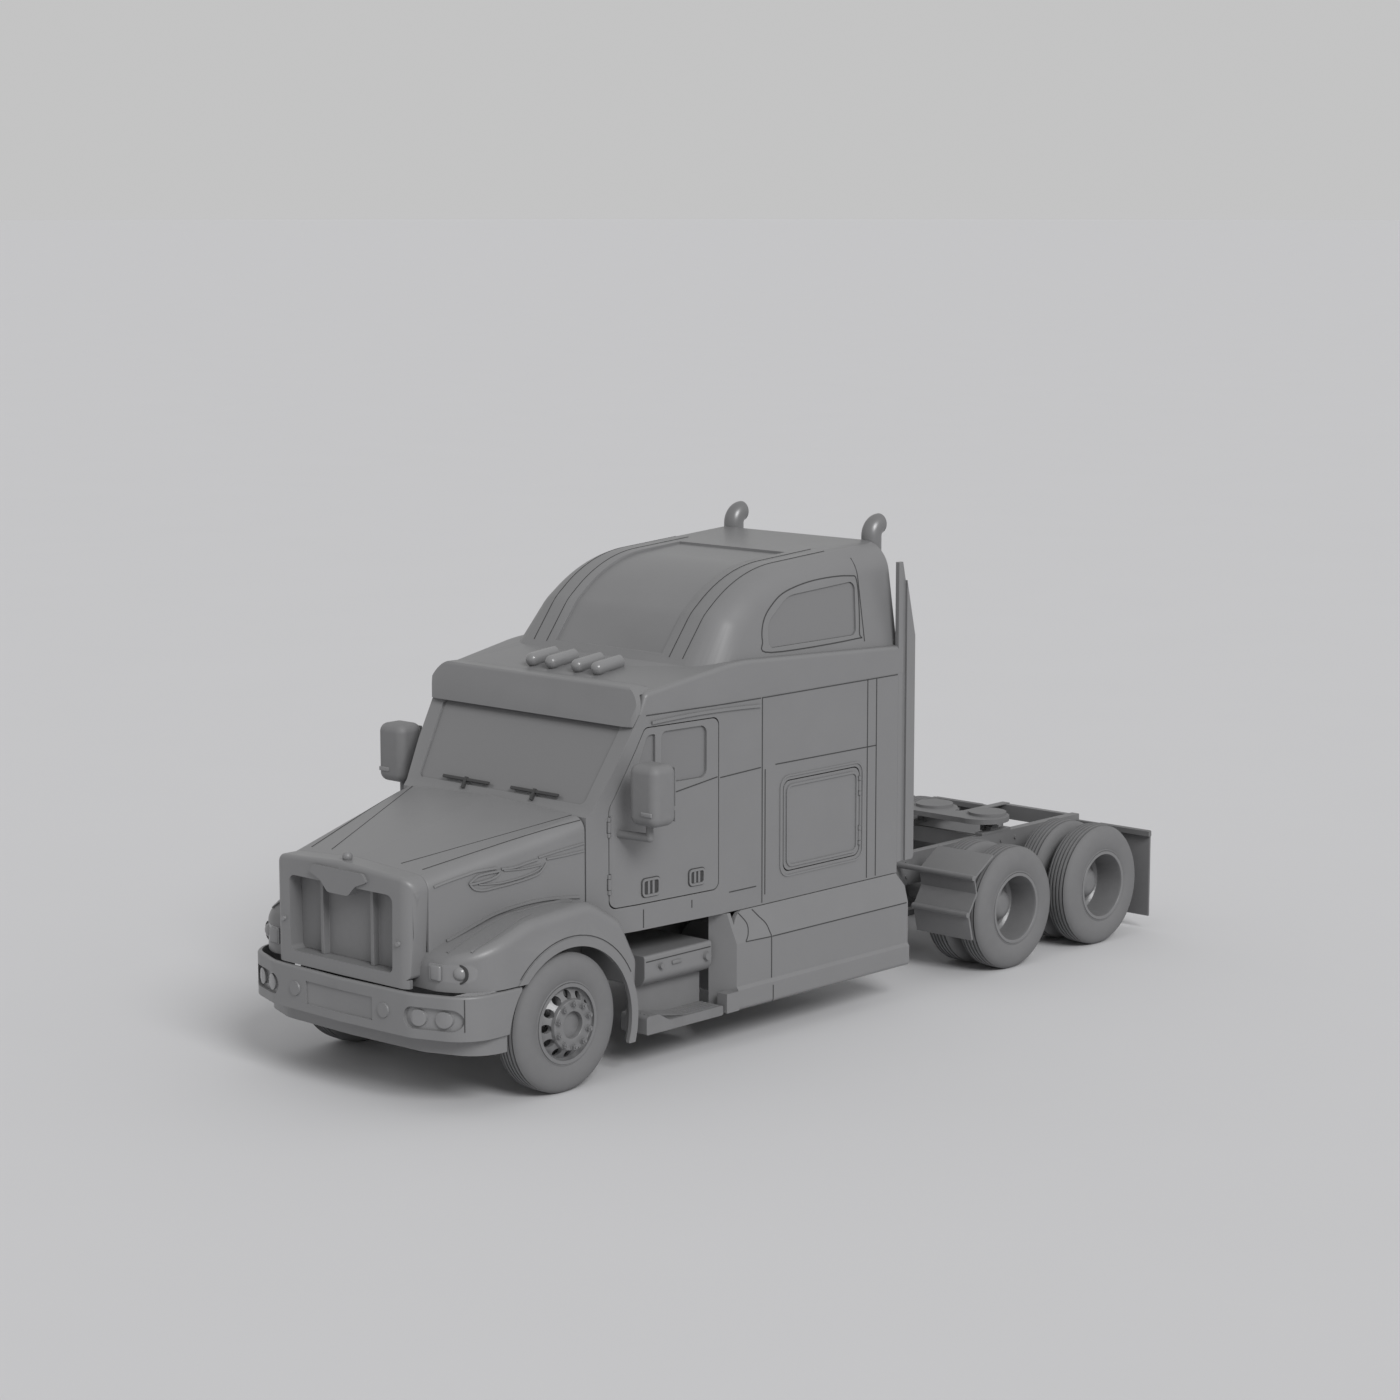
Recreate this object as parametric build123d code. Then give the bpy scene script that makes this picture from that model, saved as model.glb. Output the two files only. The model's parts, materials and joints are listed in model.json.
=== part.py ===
# Sleeper tractor unit: conventional 6x4 with a tilting bonnet and a fifth wheel.
# Millimetres. X to the left side, Y rearwards, Z up. Stations along Y are counted from the
# front axle; the finished pieces are moved so that the box's bottom centre is the origin.
import os
from math import atan2, cos, hypot, pi, radians, sin, tan

from build123d import *

# Axles, tyres and wheels
WHEELBASE = 5290
TANDEM = 1230
FRONT_OVERHANG = 1150
REAR_OVERHANG = 760
TYRE_R = 520
TYRE_W = 275
BEAD_R = 286
FLANGE_R = 298
FRONT_TYRE_OUT = 1215
REAR_TYRE_OUT = 1250
DUAL_GAP = 65
HAND_HOLES = 12
HAND_HOLE_R = 33
HAND_HOLE_RING = 219
HUB_BORE_R = 100
HUB_PLATE_R = 186
KINGPIN_X = 930
KINGPIN_R = 21
SPINDLE_R = 45
AXLE_END_R = 60
RUN = 0.3

# Frame
RAIL_OUT = 430
RAIL_W = 80
RAIL_Z0 = 670
RAIL_Z1 = 940
RAIL_T = 10
RAIL_FRONT = -950
CROSS_Z0 = 800

# Cab, sleeper and roof
BODY_W = 1160
CAB_Z0 = 1045
CAB_FRONT = 420
CAB_REAR = 2160
COWL_Z = 1990
COWL_Y = CAB_FRONT + 50
ROOF_Z = 2665
SCREEN_TOP_Y = COWL_Y + 410
WALL = 50
FLOOR = 60
CAB_LATCH_W = BODY_W - 10
CAB_DOOR_W = BODY_W - 75
CAB_HINGE_W = BODY_W - 105
CAB_NOSE_W = BODY_W - 175
SLEEPER_REAR = 3800
ROOF_REAR = SLEEPER_REAR + 60
BROW_Y = SCREEN_TOP_Y + 70
BROW_Z = ROOF_Z + 158
BROW_TOP_Y = 1880
BROW_TOP_Z = ROOF_Z + 305
BAND_REAR_Z = ROOF_Z + 220
DOME_FOOT_Y = 1450
DOME_BEND_Y = 1900
DOME_BEND_Z = 3286
DOME_KNEE_Y = 2300
DOME_KNEE_Z = 3600
DOME_KNEE_R = 1200
DOME_TOP_Z = 3700
DOME_W = BODY_W - 70
DOME_TOP_W = BODY_W - 195
SHOULDER_R = 260
PANEL_W = 570
PANEL_DEEP = 22
DOOR_FRONT = CAB_FRONT + 180
DOOR_REAR = CAB_REAR - 473
DOOR_Z0 = CAB_Z0 + 195
DOOR_Z1 = ROOF_Z - 95
DOOR_GAP = 8
HINGE_R, HINGE_PIN_R = 14, 6
HINGE_MID, HINGE_END = 40, 75
BAY_Y0 = CAB_REAR + 250
BAY_Y1 = SLEEPER_REAR - 470
BAY_Z0 = CAB_Z0 + 215
BAY_Z1 = 1980
GLASS = 12
VISOR_W = 1115
MARKER_R = 54
MIRROR_X, MIRROR_Y, MIRROR_Z = BODY_W + 200, DOOR_FRONT + 135, 2130
MIRROR_W, MIRROR_D, MIRROR_H = 280, 250, 460

# Bonnet, fenders, grille and bumper
SKIN = 25
HOOD_FRONT = -930
HOOD_REAR = CAB_FRONT - 10
HOOD_FRONT_W = 745
HOOD_REAR_W = CAB_NOSE_W
HOOD_FRONT_Z = 1725
HOOD_REAR_Z = COWL_Z + 10
HOOD_PIVOT_X = 545
HOOD_PIVOT_Y = -1050
HOOD_PIVOT_Z = 930
HOOD_PIN_R = 8
NOSE_Z = HOOD_PIVOT_Z + 20
GRILLE_FRONT = -1115
GRILLE_Z1 = HOOD_FRONT_Z - 35
MOUTH_W = 550
MOUTH_Z0 = NOSE_Z + 35
MOUTH_Z1 = GRILLE_Z1 - 140
BAR_X = 270
FENDER_W = 1200
FENDER_IN = CAB_NOSE_W + 120
FENDER_FRONT = -1000
FENDER_CORNER = 420
CROWN_R = 80
FENDER_TOP = 1385
FENDER_REAR = 765
FENDER_Z0 = 250
LIP = 8
LIP_W = 68
ARCH_Y = 50
ARCH_Z = 460
ARCH_R = 620
LAMP_X0, LAMP_X1 = 815, 1125
LAMP_Z0, LAMP_Z1 = NOSE_Z + 10, NOSE_Z + 138
BUMPER_W = 1200
BUMPER_END = -450
BUMPER_Z0 = 550
BUMPER_Z1 = 875
BUMPER_T = 30
BONNET_GAP = 12
CHIN_Z = 420
CHIN_BACK = 110
FOG_X, FOG_Z, FOG_L, FOG_H = 900, 700, 440, 160
PLATE_W, PLATE_H = 720, 170

# Behind the cab and along the sides
STACK_X, STACK_Y, STACK_R = 745, SLEEPER_REAR + 149, 82
TIP_BEND = 95
STACK_Z0, STACK_TOP = 1150, 3900
MUFFLER_Z0, MUFFLER_Z1, MUFFLER_R = 1500, 2600, 131
EXTENDER_Y1 = SLEEPER_REAR + 210
EXTENDER_Z0, EXTENDER_Z1 = CAB_Z0 + 85, DOME_TOP_Z - 145
FAIRING_Y0, FAIRING_Y1, FAIRING_W = 1800, SLEEPER_REAR + 60, 1250
FAIRING_Z0, SILL_Z1 = 285, 445
TANK_Y0, TANK_Y1, TANK_X, TANK_Z, TANK_R = 1900, SLEEPER_REAR - 200, 800, 640, 290
BOX_Y0, BOX_Y1, BOX_W, BOX_Z0, BOX_Z1 = 920, 1660, 1100, 600, 840
STEP_Y0, STEP_Y1, STEP_IN, STEP_W, STEP_Z = 810, 1655, 960, 1225, 278
FLAP_X0, FLAP_X1, FLAP_Z0, FLAP_Z1 = 660, 1220, 120, 888

# Fifth wheel
FW_Y = 6060
FW_TOP = 1085
FW_T = 45
FW_PIN_Z = FW_TOP - FW_T - 40
FW_PIN_R = 25
FW_PAD = 25
LOBE_X, LOBE_R = 285, 235
KING_R = 25.5

DISC_X = REAR_TYRE_OUT - TYRE_W - 12
DRIVE_1 = WHEELBASE
DRIVE_2 = WHEELBASE + TANDEM
FRAME_REAR = DRIVE_2 + REAR_OVERHANG
FRONT_AXLE_Y = (FRONT_OVERHANG - FRAME_REAR) / 2
FAR = 3000


def block(x0, x1, y0, y1, z0, z1):
    return Pos((x0 + x1) / 2, (y0 + y1) / 2, (z0 + z1) / 2) * Box(x1 - x0, y1 - y0, z1 - z0)


def bar(p, q, radius):
    way = Vector(*q) - Vector(*p)
    return Solid.make_cylinder(radius, way.length, Plane(origin=p, z_dir=way))


def outline(corners):
    # Closed outline from (u, v, corner radius); every rounded corner becomes one arc.
    corners = [c for i, c in enumerate(corners) if c[:2] != corners[i - 1][:2]]
    turns = []
    for i, (u, v, r) in enumerate(corners):
        tip = Vector(u, v)
        back = (Vector(*corners[i - 1][:2]) - tip).normalized()
        ahead = (Vector(*corners[(i + 1) % len(corners)][:2]) - tip).normalized()
        half = radians(back.get_angle(ahead)) / 2
        run = r / tan(half)
        turns.append((tip + back * run, tip + (back + ahead).normalized() * (r / sin(half) - r), tip + ahead * run, r))
    edges = []
    for i, (start, middle, end, r) in enumerate(turns):
        if r:
            edges.append(ThreePointArc(start, middle, end))
        if (turns[(i + 1) % len(turns)][0] - end).length > 1e-6:
            edges.append(Line(end, turns[(i + 1) % len(turns)][0]))
    return Face(Wire(edges))


def side_slab(corners, x0, x1):
    return extrude(Plane.YZ.offset(x0) * outline(corners), x1 - x0, dir=(1, 0, 0))


def plan_slab(corners, z0, z1):
    return extrude(Plane.XY.offset(z0) * outline(corners), z1 - z0, dir=(0, 0, 1))


def front_slab(corners, y0, y1):
    return extrude(Plane.XZ.offset(-y0) * outline(corners), y1 - y0, dir=(0, 1, 0))


def turned(corners, station):
    return Pos(0, station, TYRE_R) * revolve(outline(corners), Axis.X, 360)


def mirrored(half):
    return half + [(-x, y, r) for x, y, r in reversed(half)]


def pair(solid):
    return [solid, mirror(solid, Plane.YZ)]


def other(solid):
    return mirror(solid, Plane.YZ)


nodes = {}

# Frame: two channel rails, crossmembers and the cab's mounting posts
rail = block(RAIL_OUT - RAIL_W, RAIL_OUT, RAIL_FRONT, FRAME_REAR - 15, RAIL_Z0, RAIL_Z1)
rail -= block(RAIL_OUT - RAIL_W - 1, RAIL_OUT - RAIL_T, RAIL_FRONT - 1, FRAME_REAR, RAIL_Z0 + RAIL_T, RAIL_Z1 - RAIL_T)
frame = rail + other(rail)
cab_posts = (CAB_FRONT + 280, CAB_REAR - 260, CAB_REAR + 340, SLEEPER_REAR - 200)
crossings = (RAIL_FRONT + 50, CAB_REAR - 410, CAB_REAR + 340, SLEEPER_REAR - 200, SLEEPER_REAR + 700)
for station in crossings + ((DRIVE_1 + DRIVE_2) / 2, FRAME_REAR - 45):
    frame += block(-RAIL_OUT + RAIL_T / 2, RAIL_OUT - RAIL_T / 2, station - 30, station + 30, CROSS_Z0, RAIL_Z1 - RAIL_T)
for station in cab_posts:
    post = block(RAIL_OUT - RAIL_W, RAIL_OUT, station - 60, station + 60, RAIL_Z1 - RAIL_T, CAB_Z0)
    frame += [post, other(post)]
pin_in = HOOD_PIVOT_X - 25
hinge_arm = block(RAIL_OUT - 5, HOOD_PIVOT_X, RAIL_FRONT - 10, RAIL_FRONT + 50, HOOD_PIVOT_Z - 50, HOOD_PIVOT_Z - 15)
hinge_arm += block(pin_in, HOOD_PIVOT_X, HOOD_PIVOT_Y, RAIL_FRONT + 50, HOOD_PIVOT_Z - 22, HOOD_PIVOT_Z)
for reach, radius in ((HOOD_PIVOT_X, HOOD_PIN_R + 5), (HOOD_PIVOT_X + 35, HOOD_PIN_R)):
    hinge_arm += bar((pin_in, HOOD_PIVOT_Y, HOOD_PIVOT_Z), (reach, HOOD_PIVOT_Y, HOOD_PIVOT_Z), radius)
frame += [hinge_arm, other(hinge_arm)]
nodes["frame"] = [frame]

# Front axle: drop beam with an eye for each kingpin
half_beam = [(-KINGPIN_X + 40, TYRE_R - 40, 0), (-KINGPIN_X + 40, TYRE_R + 40, 0), (-KINGPIN_X + 230, TYRE_R + 40, 40),
             (-KINGPIN_X + 370, TYRE_R - 50, 40)]
half_under = [(KINGPIN_X - 330, TYRE_R - 140, 40), (KINGPIN_X - 190, TYRE_R - 40, 40)]
beam = front_slab(mirrored(half_beam) + list(reversed(half_under)) + [(-x, z, r) for x, z, r in half_under], -45, 45)
for side in (-1, 1):
    beam += bar((side * KINGPIN_X, 0, TYRE_R - 50), (side * KINGPIN_X, 0, TYRE_R + 50), KINGPIN_R + 27)
    beam -= bar((side * KINGPIN_X, 0, TYRE_R - 120), (side * KINGPIN_X, 0, TYRE_R + 120), KINGPIN_R + 1)
nodes["front_axle"] = [beam]

# Suspension: front leaf packs, rear trailing arms with hangers and air bags
LEAF_REACH = 720
leaf = side_slab(
    [(-LEAF_REACH, RAIL_Z0, 0), (-LEAF_REACH + 80, RAIL_Z0, 0), (-80, TYRE_R + 10, 0), (80, TYRE_R + 10, 0),
     (LEAF_REACH - 80, RAIL_Z0, 0), (LEAF_REACH, RAIL_Z0, 0), (LEAF_REACH, RAIL_Z0 - 30, 0), (100, TYRE_R - 50, 0),
     (-100, TYRE_R - 50, 0), (-LEAF_REACH, RAIL_Z0 - 30, 0)], RAIL_OUT - RAIL_W + 2, RAIL_OUT - 2)
springs = pair(leaf)
for station in (DRIVE_1, DRIVE_2):
    arm = block(RAIL_OUT - RAIL_W + 2, RAIL_OUT - 2, station - 560, station + 330, TYRE_R - 120, TYRE_R - 70)
    arm += block(RAIL_OUT - RAIL_W + 2, RAIL_OUT - 2, station - 560, station - 470, TYRE_R - 120, RAIL_Z0)
    arm += bar((RAIL_OUT - RAIL_W / 2, station + 240, TYRE_R - 71), (RAIL_OUT - RAIL_W / 2, station + 240, RAIL_Z0), 92)
    springs += pair(arm)
nodes["suspension"] = springs

# Drive axles with their differentials, and the propeller shafts between them
GEARBOX_REAR = CAB_FRONT + 1080
SHAFT_Z = TYRE_R + 40
axles = bar((0, GEARBOX_REAR, SHAFT_Z), (0, DRIVE_2, SHAFT_Z), 45)
for station in (DRIVE_1, DRIVE_2):
    axles += bar((-DISC_X + 58, station, TYRE_R), (DISC_X - 58, station, TYRE_R), AXLE_END_R + 10)
    axles += bar((-DISC_X + 12, station, TYRE_R), (DISC_X - 12, station, TYRE_R), AXLE_END_R)
    axles += fillet(bar((-130, station, TYRE_R), (130, station, TYRE_R), 205).edges().filter_by(GeomType.CIRCLE), 55)
    axles += bar((0, station - 330, SHAFT_Z - 15), (0, station, SHAFT_Z - 15), 90)
nodes["drive_axles"] = [axles]

# Engine with its gearbox, and the radiator standing on the rails
engine = block(-RAIL_OUT + RAIL_W, RAIL_OUT - RAIL_W, HOOD_FRONT + 330, CAB_FRONT - 40, RAIL_Z0 - 30, HOOD_FRONT_Z - 245)
engine += block(-250, 250, CAB_FRONT - 41, GEARBOX_REAR, TYRE_R - 20, RAIL_Z1 + 20)
radiator = block(-500, 500, HOOD_FRONT + 130, HOOD_FRONT + 190, RAIL_Z1, GRILLE_Z1 - 130)
nodes["engine"] = [engine, radiator]

# Tyres and wheels
SIDEWALL = TYRE_R - BEAD_R
WELL_R = BEAD_R - 20


def tyre(x_in, x_out):
    # Half profile, bead to tread: (set in from the sidewall, radius)
    half = [(30, BEAD_R), (0, BEAD_R + 0.45 * SIDEWALL), (12, TYRE_R - 45), (45, TYRE_R)]
    return [(x_in + d, r, 0) for d, r in half] + [(x_out - d, r, 0) for d, r in reversed(half)]


def rim_edge(x_in, x_out):
    return [(x_out - 8, FLANGE_R, 0), (x_out - 24, FLANGE_R, 0), (x_out - 30, BEAD_R, 0),
            (x_in + 30, BEAD_R, 0), (x_in + 24, FLANGE_R, 0), (x_in + 8, FLANGE_R, 0)]


front_in = FRONT_TYRE_OUT - TYRE_W
front_tyre = turned(tyre(front_in, FRONT_TYRE_OUT), 0)
xo = FRONT_TYRE_OUT
front_rim = turned(
    [(xo - 5, 0, 0), (xo - 5, HUB_BORE_R, 0), (xo + 42, HUB_BORE_R, 5), (xo + 42, HUB_PLATE_R, 8),
     (xo + 8, HUB_PLATE_R + 6, 0), (xo - 45, WELL_R - 8, 0), (xo - 30, WELL_R + 4, 0),
     (xo - 8, WELL_R + 6, 0)] + rim_edge(front_in, xo) +
    [(front_in + 8, WELL_R + 6, 0), (front_in + 30, WELL_R, 0), (xo - 80, WELL_R, 0), (xo - 66, WELL_R - 16, 0),
     (xo - 18, 168, 0), (xo - 18, 105, 0), (xo - 40, 100, 0), (xo - 40, SPINDLE_R + RUN, 0), (xo - 14, SPINDLE_R + RUN, 0),
     (xo - 14, 0, 0)], 0)
for i in range(HAND_HOLES):
    turn = 2 * pi * i / HAND_HOLES
    y, z = HAND_HOLE_RING * cos(turn), TYRE_R + HAND_HOLE_RING * sin(turn)
    front_rim -= bar((xo - 90, y, z), (xo + 10, y, z), HAND_HOLE_R)
nodes["tyre_front_left"], nodes["tyre_front_right"] = [front_tyre], [other(front_tyre)]
nodes["wheel_front_left"], nodes["wheel_front_right"] = [front_rim], [other(front_rim)]

out_in = REAR_TYRE_OUT - TYRE_W
in_out = out_in - DUAL_GAP
in_in = in_out - TYRE_W
disc_out = DISC_X
for label, station in (("1", DRIVE_1), ("2", DRIVE_2)):
    twins = [turned(tyre(out_in, REAR_TYRE_OUT), station), turned(tyre(in_in, in_out), station)]
    hub = turned(
        [(disc_out + 148, 0, 0), (disc_out + 148, 125, 95), (disc_out, 145, 0), (disc_out, WELL_R - 26, 0),
         (disc_out + 24, WELL_R, 0), (REAR_TYRE_OUT - 30, WELL_R, 0), (REAR_TYRE_OUT - 8, WELL_R + 6, 0)] +
        rim_edge(out_in, REAR_TYRE_OUT) + [(out_in + 4, BEAD_R - 4, 0), (in_out - 4, BEAD_R - 4, 0)] +
        rim_edge(in_in, in_out) +
        [(in_in + 8, WELL_R + 6, 0), (in_in + 30, WELL_R, 0), (disc_out - 60, WELL_R, 0), (disc_out - 36, WELL_R - 26, 0),
         (disc_out - 36, 215, 0), (in_in + 70, 215, 0), (in_in + 70, 200, 0), (disc_out - 36, 200, 0),
         (disc_out - 36, AXLE_END_R + RUN, 0), (disc_out - 10, AXLE_END_R + RUN, 0), (disc_out - 10, 0, 0)], station)
    nodes["tyres_drive_%s_left" % label] = twins
    nodes["tyres_drive_%s_right" % label] = [other(t) for t in twins]
    nodes["wheels_drive_%s_left" % label] = [hub]
    nodes["wheels_drive_%s_right" % label] = [other(hub)]

# Steering knuckles: yoke, kingpin, spindle and brake drum
knuckle = bar((KINGPIN_X, 0, TYRE_R - 80), (KINGPIN_X, 0, TYRE_R + 80), KINGPIN_R)
for z in (TYRE_R - 86, TYRE_R + 54):
    knuckle += block(KINGPIN_X, KINGPIN_X + 82, -50, 50, z, z + 32) + bar((KINGPIN_X, 0, z), (KINGPIN_X, 0, z + 32), 50)
knuckle += block(KINGPIN_X + 56, KINGPIN_X + 90, -60, 60, TYRE_R - 86, TYRE_R + 86)
knuckle += bar((KINGPIN_X + 85, 0, TYRE_R), (xo - 16, 0, TYRE_R), SPINDLE_R)
knuckle += bar((KINGPIN_X + 85, 0, TYRE_R), (KINGPIN_X + 155, 0, TYRE_R), BEAD_R - 86)
nodes["knuckle_left"], nodes["knuckle_right"] = [knuckle], [other(knuckle)]

# Bumper with a set-back chin, brackets, lamp openings and a plain plate recess


def arch(grow):
    return Pos(0, ARCH_Y, ARCH_Z) * Rot(0, 90, 0) * Cylinder(ARCH_R + grow, 2 * FAR)


def bumper_plan(inset, front, end):
    return mirrored([(-BUMPER_W + inset, end, 0), (-BUMPER_W + inset, front + 190 + inset, 320 - inset),
                     (-BUMPER_W + 460, front + 25 + inset, 300), (-1, front + inset, 0)])


def bumper_skin(outer, inner, front, z0, z1):
    solid = plan_slab(bumper_plan(outer, front, BUMPER_END), z0, z1)
    return solid - plan_slab(bumper_plan(inner, front, BUMPER_END + 10), z0 - 1, z1 + 1)


def fog_slot(grow):
    x0, x1 = FOG_X - FOG_L / 2 - grow, FOG_X + FOG_L / 2 + grow
    z0, z1 = FOG_Z - FOG_H / 2 - grow, FOG_Z + FOG_H / 2 + grow
    r = FOG_H / 2 + grow - 0.5
    return front_slab([(x0, z0, r), (x1, z0, r), (x1, z1, r), (x0, z1, r)], -FAR, HOOD_FRONT + 330)


NOSE_Y = -FRONT_OVERHANG
bumper = plan_slab(bumper_plan(0, NOSE_Y, BUMPER_END), BUMPER_Z0, BUMPER_Z1)
bumper = fillet(bumper.faces().sort_by(Axis.Z)[-1].edges().filter_by(lambda e: e.center().Y < BUMPER_END - 1), 20)
bumper -= plan_slab(bumper_plan(BUMPER_T, NOSE_Y, BUMPER_END + 10), BUMPER_Z0 - 1, BUMPER_Z1 + 1)
bumper += bumper_skin(BUMPER_T - 5, BUMPER_T + 20, NOSE_Y + CHIN_BACK, CHIN_Z, BUMPER_Z0)
shelf = plan_slab(bumper_plan(10, NOSE_Y, BUMPER_END), BUMPER_Z0, BUMPER_Z0 + 20)
bumper += shelf - plan_slab(bumper_plan(BUMPER_T + 20, NOSE_Y + CHIN_BACK, BUMPER_END + 10), BUMPER_Z0 - 1, BUMPER_Z0 + 21)
bumper -= bumper_skin(-10, 12, NOSE_Y, FOG_Z - PLATE_H / 2, FOG_Z + PLATE_H / 2) & block(
    -PLATE_W / 2, PLATE_W / 2, -FAR, 0, 0, FAR)
for side in (-1, 1):
    x = side * (RAIL_OUT - RAIL_W / 2)
    bumper += block(x - 38, x + 38, NOSE_Y + 30, RAIL_FRONT, RAIL_Z0 + 20, RAIL_Z1 - 140)
bumper -= [fog_slot(0), other(fog_slot(0)), arch(15)]
nodes["bumper"] = [bumper]
pod = bumper_skin(BUMPER_T, BUMPER_T + 20, NOSE_Y, BUMPER_Z0, BUMPER_Z1) & fog_slot(18)
for x in (FOG_X - 105, FOG_X + 85):
    lens = bar((x, -FAR, FOG_Z), (x, HOOD_FRONT + 230, FOG_Z), FOG_H / 2 - 20)
    pod += lens & bumper_skin(BUMPER_T - 18, BUMPER_T + 10, NOSE_Y, BUMPER_Z0, BUMPER_Z1)
lamps = pair(pod)

# Cab shell: floor, firewall, cowl, pillars and quarter panels


def body_plan(inset, front, rear):
    half = [(-BODY_W + inset, rear, 0), (-BODY_W + inset, CAB_REAR, 0), (-CAB_LATCH_W + inset, DOOR_REAR, 0),
            (-CAB_DOOR_W + inset, DOOR_FRONT + 250, 0), (-CAB_HINGE_W + inset, DOOR_FRONT + 50, 0),
            (-CAB_NOSE_W + inset, front, 0)]
    return mirrored(half)


def body_side(inset):
    slope = (SCREEN_TOP_Y - COWL_Y) / (ROOF_Z - COWL_Z)
    lean = inset * hypot(1, slope)
    low = CAB_Z0 + (FLOOR if inset else 0)
    high = ROOF_Z + (300 if inset else 0)
    rear = CAB_REAR + (200 if inset else 0)
    foot = COWL_Z - (40 if inset else 0)
    return [(CAB_FRONT + inset, low, 0), (CAB_FRONT + inset, foot - 40, 0),
            (COWL_Y + lean - (COWL_Z - foot) * slope, foot, 0), (COWL_Y + lean + (high - COWL_Z) * slope, high, 0),
            (rear, high, 0), (rear, low, 0)]


cab_full = plan_slab(body_plan(0, CAB_FRONT, CAB_REAR), CAB_Z0, ROOF_Z) & side_slab(body_side(0), -FAR, FAR)
cab_void = plan_slab(body_plan(WALL, CAB_FRONT, CAB_REAR + 200), CAB_Z0, ROOF_Z + 300)
cab_void = cab_void & side_slab(body_side(WALL), -FAR, FAR)
cab_wall = cab_full - cab_void


def door_line(gap):
    return [(DOOR_FRONT + gap, DOOR_Z0 + gap, 60), (DOOR_FRONT + gap, COWL_Z + 10, 150),
            (DOOR_FRONT + 335 + gap, DOOR_Z1 - gap, 60), (DOOR_REAR - gap, DOOR_Z1 - gap, 60),
            (DOOR_REAR - gap, DOOR_Z0 + gap, 60)]


def hinge(x, y, z):
    # One upright axis: the door's bored barrel and its room, the post's barrels with the pin and their room
    def barrel(z0, z1, radius):
        return bar((x, y, z + z0), (x, y, z + z1), radius)

    room = HINGE_R + 4
    bore = barrel(-HINGE_MID - 1, HINGE_MID + 1, HINGE_PIN_R + RUN)
    leaf = barrel(-HINGE_MID, HINGE_MID, HINGE_R) - bore
    post = barrel(-HINGE_END, -HINGE_MID - 4, HINGE_R) + barrel(-HINGE_END, HINGE_END, HINGE_PIN_R)
    post += barrel(HINGE_MID + 4, HINGE_END, HINGE_R)
    leaf_room = barrel(-HINGE_MID - 4, HINGE_MID + 4, room)
    post_room = barrel(-HINGE_END - 4, -HINGE_MID, room) + barrel(HINGE_MID, HINGE_END + 4, room) + bore
    return leaf, leaf_room, post, post_room


SILL_Z = COWL_Z + 135
HEAD_Z = DOOR_Z1 - 50
SIDE_WINDOW = [(DOOR_FRONT + 500, SILL_Z, 40), (DOOR_FRONT + 500, HEAD_Z, 50), (DOOR_REAR - 127, HEAD_Z, 60),
               (DOOR_REAR - 127, SILL_Z, 60)]
VENT_WINDOW = [(DOOR_FRONT + 210, SILL_Z + 30, 25), (DOOR_FRONT + 360, HEAD_Z - 10, 60),
               (DOOR_FRONT + 440, HEAD_Z - 10, 15), (DOOR_FRONT + 440, SILL_Z + 10, 15)]
SCREEN_RUN = hypot(SCREEN_TOP_Y - COWL_Y, ROOF_Z - COWL_Z)
SCREEN_TILT = atan2(SCREEN_TOP_Y - COWL_Y, ROOF_Z - COWL_Z)
screen_plane = Plane(origin=(0, COWL_Y, COWL_Z), x_dir=(1, 0, 0), z_dir=(0, -cos(SCREEN_TILT), sin(SCREEN_TILT)))
screen = outline(mirrored([(-CAB_NOSE_W + 95, 40, 50), (-CAB_NOSE_W + 30, SCREEN_RUN - 80, 60)]))
screen_cut = extrude(screen_plane.offset(-150) * screen, 300, dir=screen_plane.z_dir)
cab = cab_wall - screen_cut
cab -= [side_slab(door_line(0), 500, FAR), side_slab(door_line(0), -FAR, -500)]
hinge_run = (DOOR_FRONT + DOOR_GAP / 2 - CAB_FRONT) / (DOOR_FRONT + 50 - CAB_FRONT)
hinge_x = CAB_NOSE_W + (CAB_HINGE_W - CAB_NOSE_W) * hinge_run
door_hinges = [hinge(hinge_x, DOOR_FRONT + DOOR_GAP / 2, z) for z in (DOOR_Z0 + 190, COWL_Z - 130)]
for leaf, leaf_room, post, post_room in door_hinges:
    cab -= [leaf_room, other(leaf_room)]
    cab += [post, other(post)]
nodes["cab_shell"] = [cab]
windscreen = extrude(screen_plane.offset(-30) * screen, GLASS, dir=screen_plane.z_dir)

# Doors with two panes each, and the mirrors they carry
glass_layer = plan_slab(body_plan(20, CAB_FRONT, CAB_REAR), CAB_Z0, ROOF_Z)
glass_layer -= plan_slab(body_plan(20 + GLASS, CAB_FRONT - 9, CAB_REAR + 9), CAB_Z0 - 1, ROOF_Z + 1)
window_cuts = [side_slab(SIDE_WINDOW, 500, FAR), side_slab(VENT_WINDOW, 500, FAR)]
door = (cab_wall & side_slab(door_line(DOOR_GAP), 500, FAR)) - window_cuts
for leaf, leaf_room, post, post_room in door_hinges:
    door = door - post_room + leaf
panes = [glass_layer & cut for cut in window_cuts]
nodes["door_left"], nodes["door_right"] = [door], [other(door)]
nodes["door_glass_left"], nodes["door_glass_right"] = panes, [other(p) for p in panes]
head = Pos(MIRROR_X, MIRROR_Y, MIRROR_Z) * Box(MIRROR_W, MIRROR_D, MIRROR_H)
head = fillet(head.edges(), 70)
ARM_Z = MIRROR_Z - MIRROR_H / 2 - 100
stalk = bar((CAB_NOSE_W, DOOR_FRONT + 90, ARM_Z), (MIRROR_X - 30, MIRROR_Y, ARM_Z), 32) + Pos(MIRROR_X - 30, MIRROR_Y, ARM_Z) * Sphere(32)
stalk += bar((MIRROR_X - 30, MIRROR_Y, ARM_Z), (MIRROR_X - 30, MIRROR_Y, MIRROR_Z), 28)
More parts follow.
